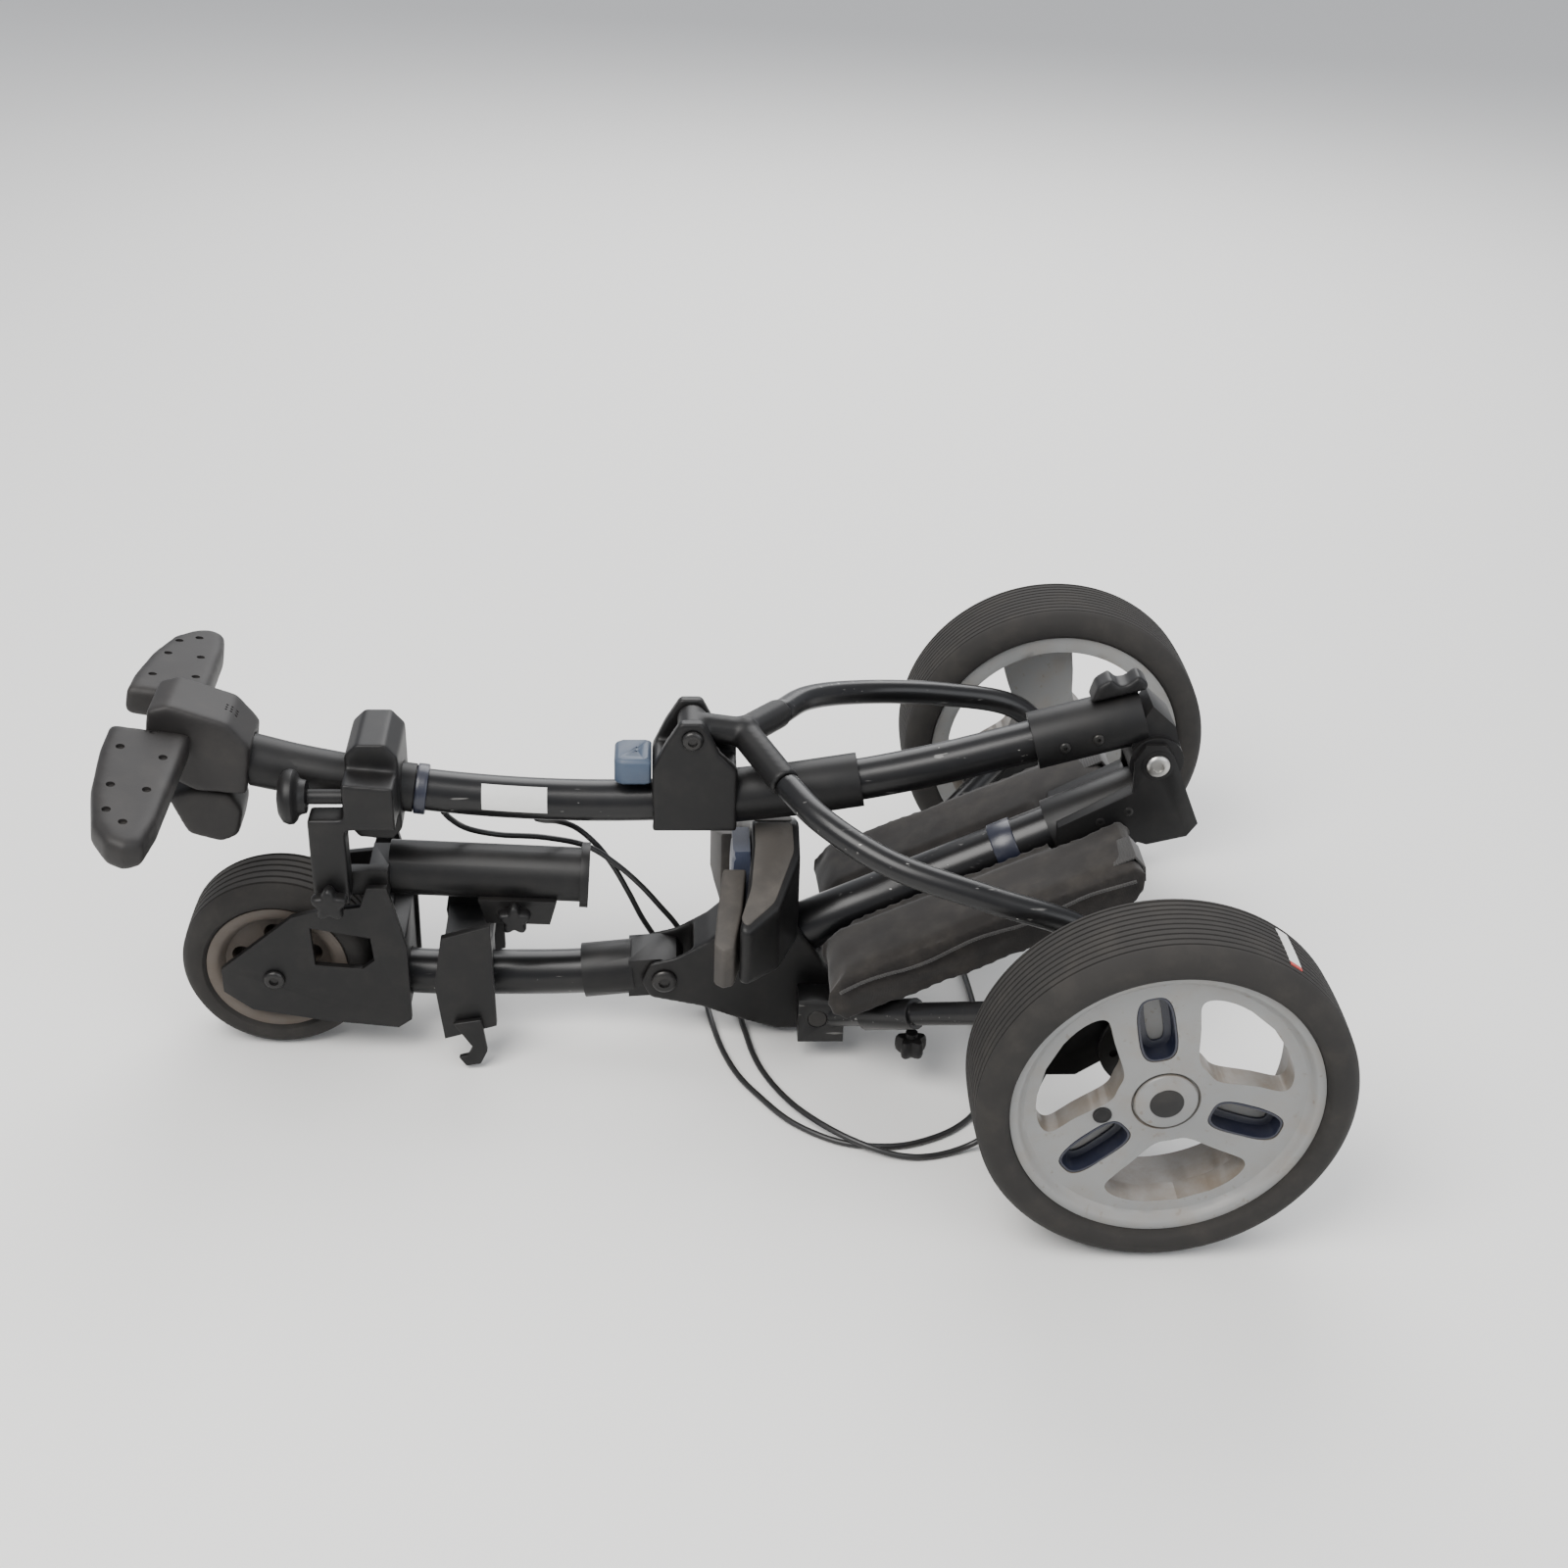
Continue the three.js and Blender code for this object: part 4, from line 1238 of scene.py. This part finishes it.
@dataclass
class Pouch:
    """The fabric pouch hung on both sides of the main tube. Its fields are in metres.

    Cloth nearer the middle than ``tube_gap`` is held still, so that the tube's groove stays clear.
    """

    voxel: float = 0.005
    cap: float = 0.0045
    inset: float = 0.003
    tube_gap: float = 0.034
    frames: int = 20

    def puffed(self) -> bpy.types.Object:
        """The pouch's shell, swollen by a short cloth simulation."""
        bag = from_node("accessory_pouch", "pouch_cloth", 12.0, 24)
        shrink = bag.modifiers.new("shrink", "DISPLACE")
        shrink.strength = -self.inset
        shrink.mid_level = 0.0
        apply(bag)
        remesh = bag.modifiers.new("remesh", "REMESH")
        remesh.mode = "VOXEL"
        remesh.voxel_size = self.voxel
        apply(bag)
        start = [v.co.copy() for v in bag.data.vertices]
        cloth = bag.modifiers.new("cloth", "CLOTH")
        cloth.settings.use_pressure = True
        cloth.settings.uniform_pressure_force = 4.0
        cloth.settings.effector_weights.gravity = 0.0
        for number in range(1, self.frames + 1):
            bpy.context.scene.frame_set(number)
        apply(bag)
        bpy.context.scene.frame_set(1)
        for vertex, old in zip(bag.data.vertices, start):
            moved = vertex.co - old
            if moved.length > self.cap:
                moved *= self.cap / moved.length
            near_tube = abs(old.y) < self.tube_gap
            vertex.co = old if near_tube else old + moved
            fold = noise.noise(old * 26.0) * 0.0016 + noise.noise(old * 60.0 + Vector((5, 1,
                                                                                       2))) * 0.0007
            if not near_tube:
                vertex.co += vertex.normal * fold
        return smooth(bag, 180)

    def seam(self, name: str, points: Sequence[Point], radius: float = 1.4) -> None:
        """A line of piping along points on the cloth."""
        piping = Shop.tube(name, curve_through(points, 6), radius, 10)
        Shop.dress(piping, WEBBING, "lower_frame", "pouch_fabric")

    def make(self) -> None:
        """Builds the pouch, its seams and its end webbing."""
        bag = self.puffed()
        sub = bag.modifiers.new("smooth", "SUBSURF")
        sub.levels = sub.render_levels = 1
        apply(bag)
        smooth(bag, 180)
        Shop.dress(bag, CLOTH, "lower_frame", "pouch_fabric", "accessory_pouch")
        for side in Side:
            y = 105.5 * side.value
            line = []
            for i in range(14):
                x = -222 + 228 * i / 13
                wave = 2.2 * math.sin(i * 1.3)
                line.append((x, y, LINES.main(x)[2] - 5.0 + wave))
            self.seam(f"pouch_piping_{side.word}", line)
        for side in Side:
            low, high = sorted((60 * side.value, 92 * side.value))
            top = LINES.main(8)[2] + 7.5
            flap = [(-10, top - 9.2), (6.5, top - 1.0), (15.5, top - 11.0), (17.2, top - 24),
                    (15.6, top - 24),
                    (13.8, top - 12), (6.0, top - 3.2), (-10, top - 11.4)]
            Shop.dress(Shop.slab(f"pouch_web_{side.word}", flap, low, high, 0.5), WEBBING,
                       "lower_frame", "pouch_fabric")


@dataclass
class Shaft:
    """Details along the upper shaft: its knuckle, its label, and the ring of the hinge."""

    def label(self) -> None:
        """The blank label wrapped on the upper tube."""
        rings = []
        for i in range(9):
            x = -508 + 52 * i / 8
            z = LINES.shaft_z(x)
            ring = []
            for r, turn in ((17.35, 1), (16.6, -1)):
                for k in range(9):
                    a = math.radians(-152 + 74 * (k if turn > 0 else 8 - k) / 8)
                    ring.append((x, r * math.cos(a + math.pi / 2) * -1,
                                 z + r * math.sin(a + math.pi / 2) * -1))
            rings.append(ring)
        Shop.dress(smooth(Shop.loft("tube_label", rings), 50), LABEL, "upper_shaft", "frame_black")

    def make(self) -> None:
        """Builds the shaft's details."""
        knuckle = from_node("upper_knuckle", "upper_knuckle_skin", 1.4)
        Shop.dress(knuckle, PLASTIC, "upper_shaft", "plastic_black", "upper_knuckle")
        self.label()
        rings = []
        for i in range(46):
            a = math.radians(-62 + 118 * i / 45)
            r = 22.9 if i % 2 else 22.0
            outer, inner = ((FOLD[0] + size * math.cos(a), FOLD[1] + size * math.sin(a))
                            for size in (r, 21.0))
            rings.append([(outer[0], y, outer[1]) for y in (-9.0, 9.0)]
                         + [(inner[0], y, inner[1]) for y in (9.0, -9.0)])
        Shop.dress(smooth(Shop.loft("fold_ribs", rings), 20), PLASTIC, "upper_shaft",
                   "plastic_black")
        holder = from_node("umbrella_holder", "umbrella_tube", 0.9)
        Shop.dress(holder, PLASTIC, "umbrella_holder", "navy_plastic", "umbrella_holder")


@dataclass
class Cables:
    """The two brake cables."""

    radius: float = 2.5
    far: tuple[Point, ...] = (
        (-541, 0, 210.6), (-536, 6, 200), (-524, 20, 182), (-500, 30, 170), (-462, 32, 166),
        (-426, 32, 157),
        (-402, 32, 139), (-382, 32.4, 118), (-366, 32.8, 97), (-351, 33, 76), (-338, 33, 48),
        (-330, 29, 22),
        (-326, 20, 8), (-323, 4, 3.6),
        (-314, -42, 3), (-301, -80, 3), (-284, -109, 3), (-263, -138, 3), (-242, -156, 3),
        (-220, -168, 3),
        (-194, -173, 3), (-172, -172, 3), (-151, -165, 3), (-130, -153, 3), (-110, -132, 3),
        (-98, -100, 3),
        (-92, -50, 3), (-92, 20, 3), (-96, 90, 3), (-98, 145, 5), (-92, 182, 22), (-80, 202, 60),
        (-73, 206.5, 101.6),
    )
    near: tuple[Point, ...] = (
        (-466, 0, 203.6), (-461, 10, 196), (-450, 28, 184), (-436, 38, 172), (-420, 40, 155),
        (-406, 40, 134),
        (-392, 40, 105), (-379, 40, 76), (-356, 40, 40), (-326, 38, 15), (-302, 24, 5),
        (-294, -16, 3.2), (-286, -57, 3),
        (-275, -88, 3.4), (-258, -122, 6), (-240, -147, 8.4), (-219, -167, 8.8), (-200, -178, 7),
        (-180, -184.5, 4),
        (-160, -186.5, 3), (-138, -182, 3), (-116, -176, 8), (-98, -178, 26), (-82, -194, 60),
        (-73, -206.5, 101.6),
    )

    def make(self) -> None:
        """Builds and dresses both cables, and logs their lengths."""
        for word, route in (("far", self.far), ("near", self.near)):
            line = curve_through(route, 6)
            length = sum((b - a).length for a, b in zip(line, line[1:])) * MM
            cable = Shop.tube(f"brake_cable_{word}", line, self.radius, 14)
            Shop.dress(cable, SHEATH, "lower_frame", "cable_black", f"cable_{word}")
            path = [tuple(Shop.at(p)) for p in line]
            LOG.info("cable %s is %.3f m long", word, length)


# ---------------------------------------------------------------------------------------------
# studio
# ---------------------------------------------------------------------------------------------


@dataclass
class Studio:
    """Floor, lights and camera."""

    eye: Point = (-363.1, -1511.2, 1113.7)
    yaw: float = -0.0645
    pitch: float = 0.5252
    roll: float = 0.0333
    lens_mm: float = 49.64
    sensor_mm: float = 36.0

    def camera(self) -> None:
        """The camera, from its turn about the vertical, its dip and its roll."""
        data = bpy.data.cameras.new("camera")
        data.lens = self.lens_mm
        data.sensor_width = self.sensor_mm
        camera = bpy.data.objects.new("camera", data)
        bpy.context.scene.collection.objects.link(camera)
        ahead = Vector((-math.sin(self.yaw) * math.cos(self.pitch),
                        math.cos(self.yaw) * math.cos(self.pitch),
                        -math.sin(self.pitch)))
        right = Vector((math.cos(self.yaw), math.sin(self.yaw), 0.0))
        up = right.cross(ahead)
        tilted_right = right * math.cos(self.roll) + up * math.sin(self.roll)
        tilted_up = up * math.cos(self.roll) - right * math.sin(self.roll)
        turn = Matrix((tilted_right, tilted_up, -ahead)).transposed().to_4x4()
        camera.matrix_world = Matrix.Translation(Shop.at(self.eye)) @ turn
        bpy.context.scene.camera = camera

    def light(self, name: str, place: Point, size: float, power: float,
              color: Point = (1, 1, 1)) -> None:
        """One square soft light aimed at the trolley."""
        data = bpy.data.lights.new(name, "AREA")
        data.size = size
        data.energy = power
        data.color = color
        lamp = bpy.data.objects.new(name, data)
        bpy.context.scene.collection.objects.link(lamp)
        lamp.location = place
        aim = Vector((0.0, 0.0, 0.1)) - Vector(place)
        lamp.rotation_euler = aim.to_track_quat("-Z", "Y").to_euler()

    def floor(self) -> None:
        """The pale floor."""
        bpy.ops.mesh.primitive_plane_add(size=14.0, location=(0, 0, -0.0004))
        floor = bpy.context.object
        floor.name = "floor"
        tree = Tree("pale floor")
        tree.set(Base_Color=(0.8, 0.79, 0.765), Roughness=0.75)
        floor.data.materials.append(tree.material)

    def make(self) -> None:
        """Sets everything up."""
        self.camera()
        self.floor()
        self.light("key", (-1.2, -1.4, 2.6), 1.8, 120.0, (1.0, 0.985, 0.96))
        self.light("fill", (1.9, -1.6, 1.7), 2.2, 40.0, (0.95, 0.975, 1.0))
        self.light("back", (0.4, 2.3, 2.2), 2.4, 90.0)
        world = bpy.data.worlds.new("studio")
        world.use_nodes = True
        world.node_tree.nodes["Background"].inputs[0].default_value = (0.9, 0.93, 1.0, 1.0)
        world.node_tree.nodes["Background"].inputs[1].default_value = 0.7
        bpy.context.scene.world = world


def main() -> None:
    """Builds the trolley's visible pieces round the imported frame."""
    logging.basicConfig(level=logging.INFO, format="%(message)s")
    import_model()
    low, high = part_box("rear_tyre_near")
    Shop.axle_x = (low.x + high.x) / 2
    Studio().make()
    Cables().make()
    Tubes().make()
    for side in Side:
        RearWheel(side).make()
    FrontWheel().make()
    for group in (Fasteners(), Knobs(), Handle(), Slider(), Cradle(), Pouch(), Shaft()):
        group.make()
    softened_castings()
    bpy.context.view_layer.update()


if __name__ == "__main__":
    main()
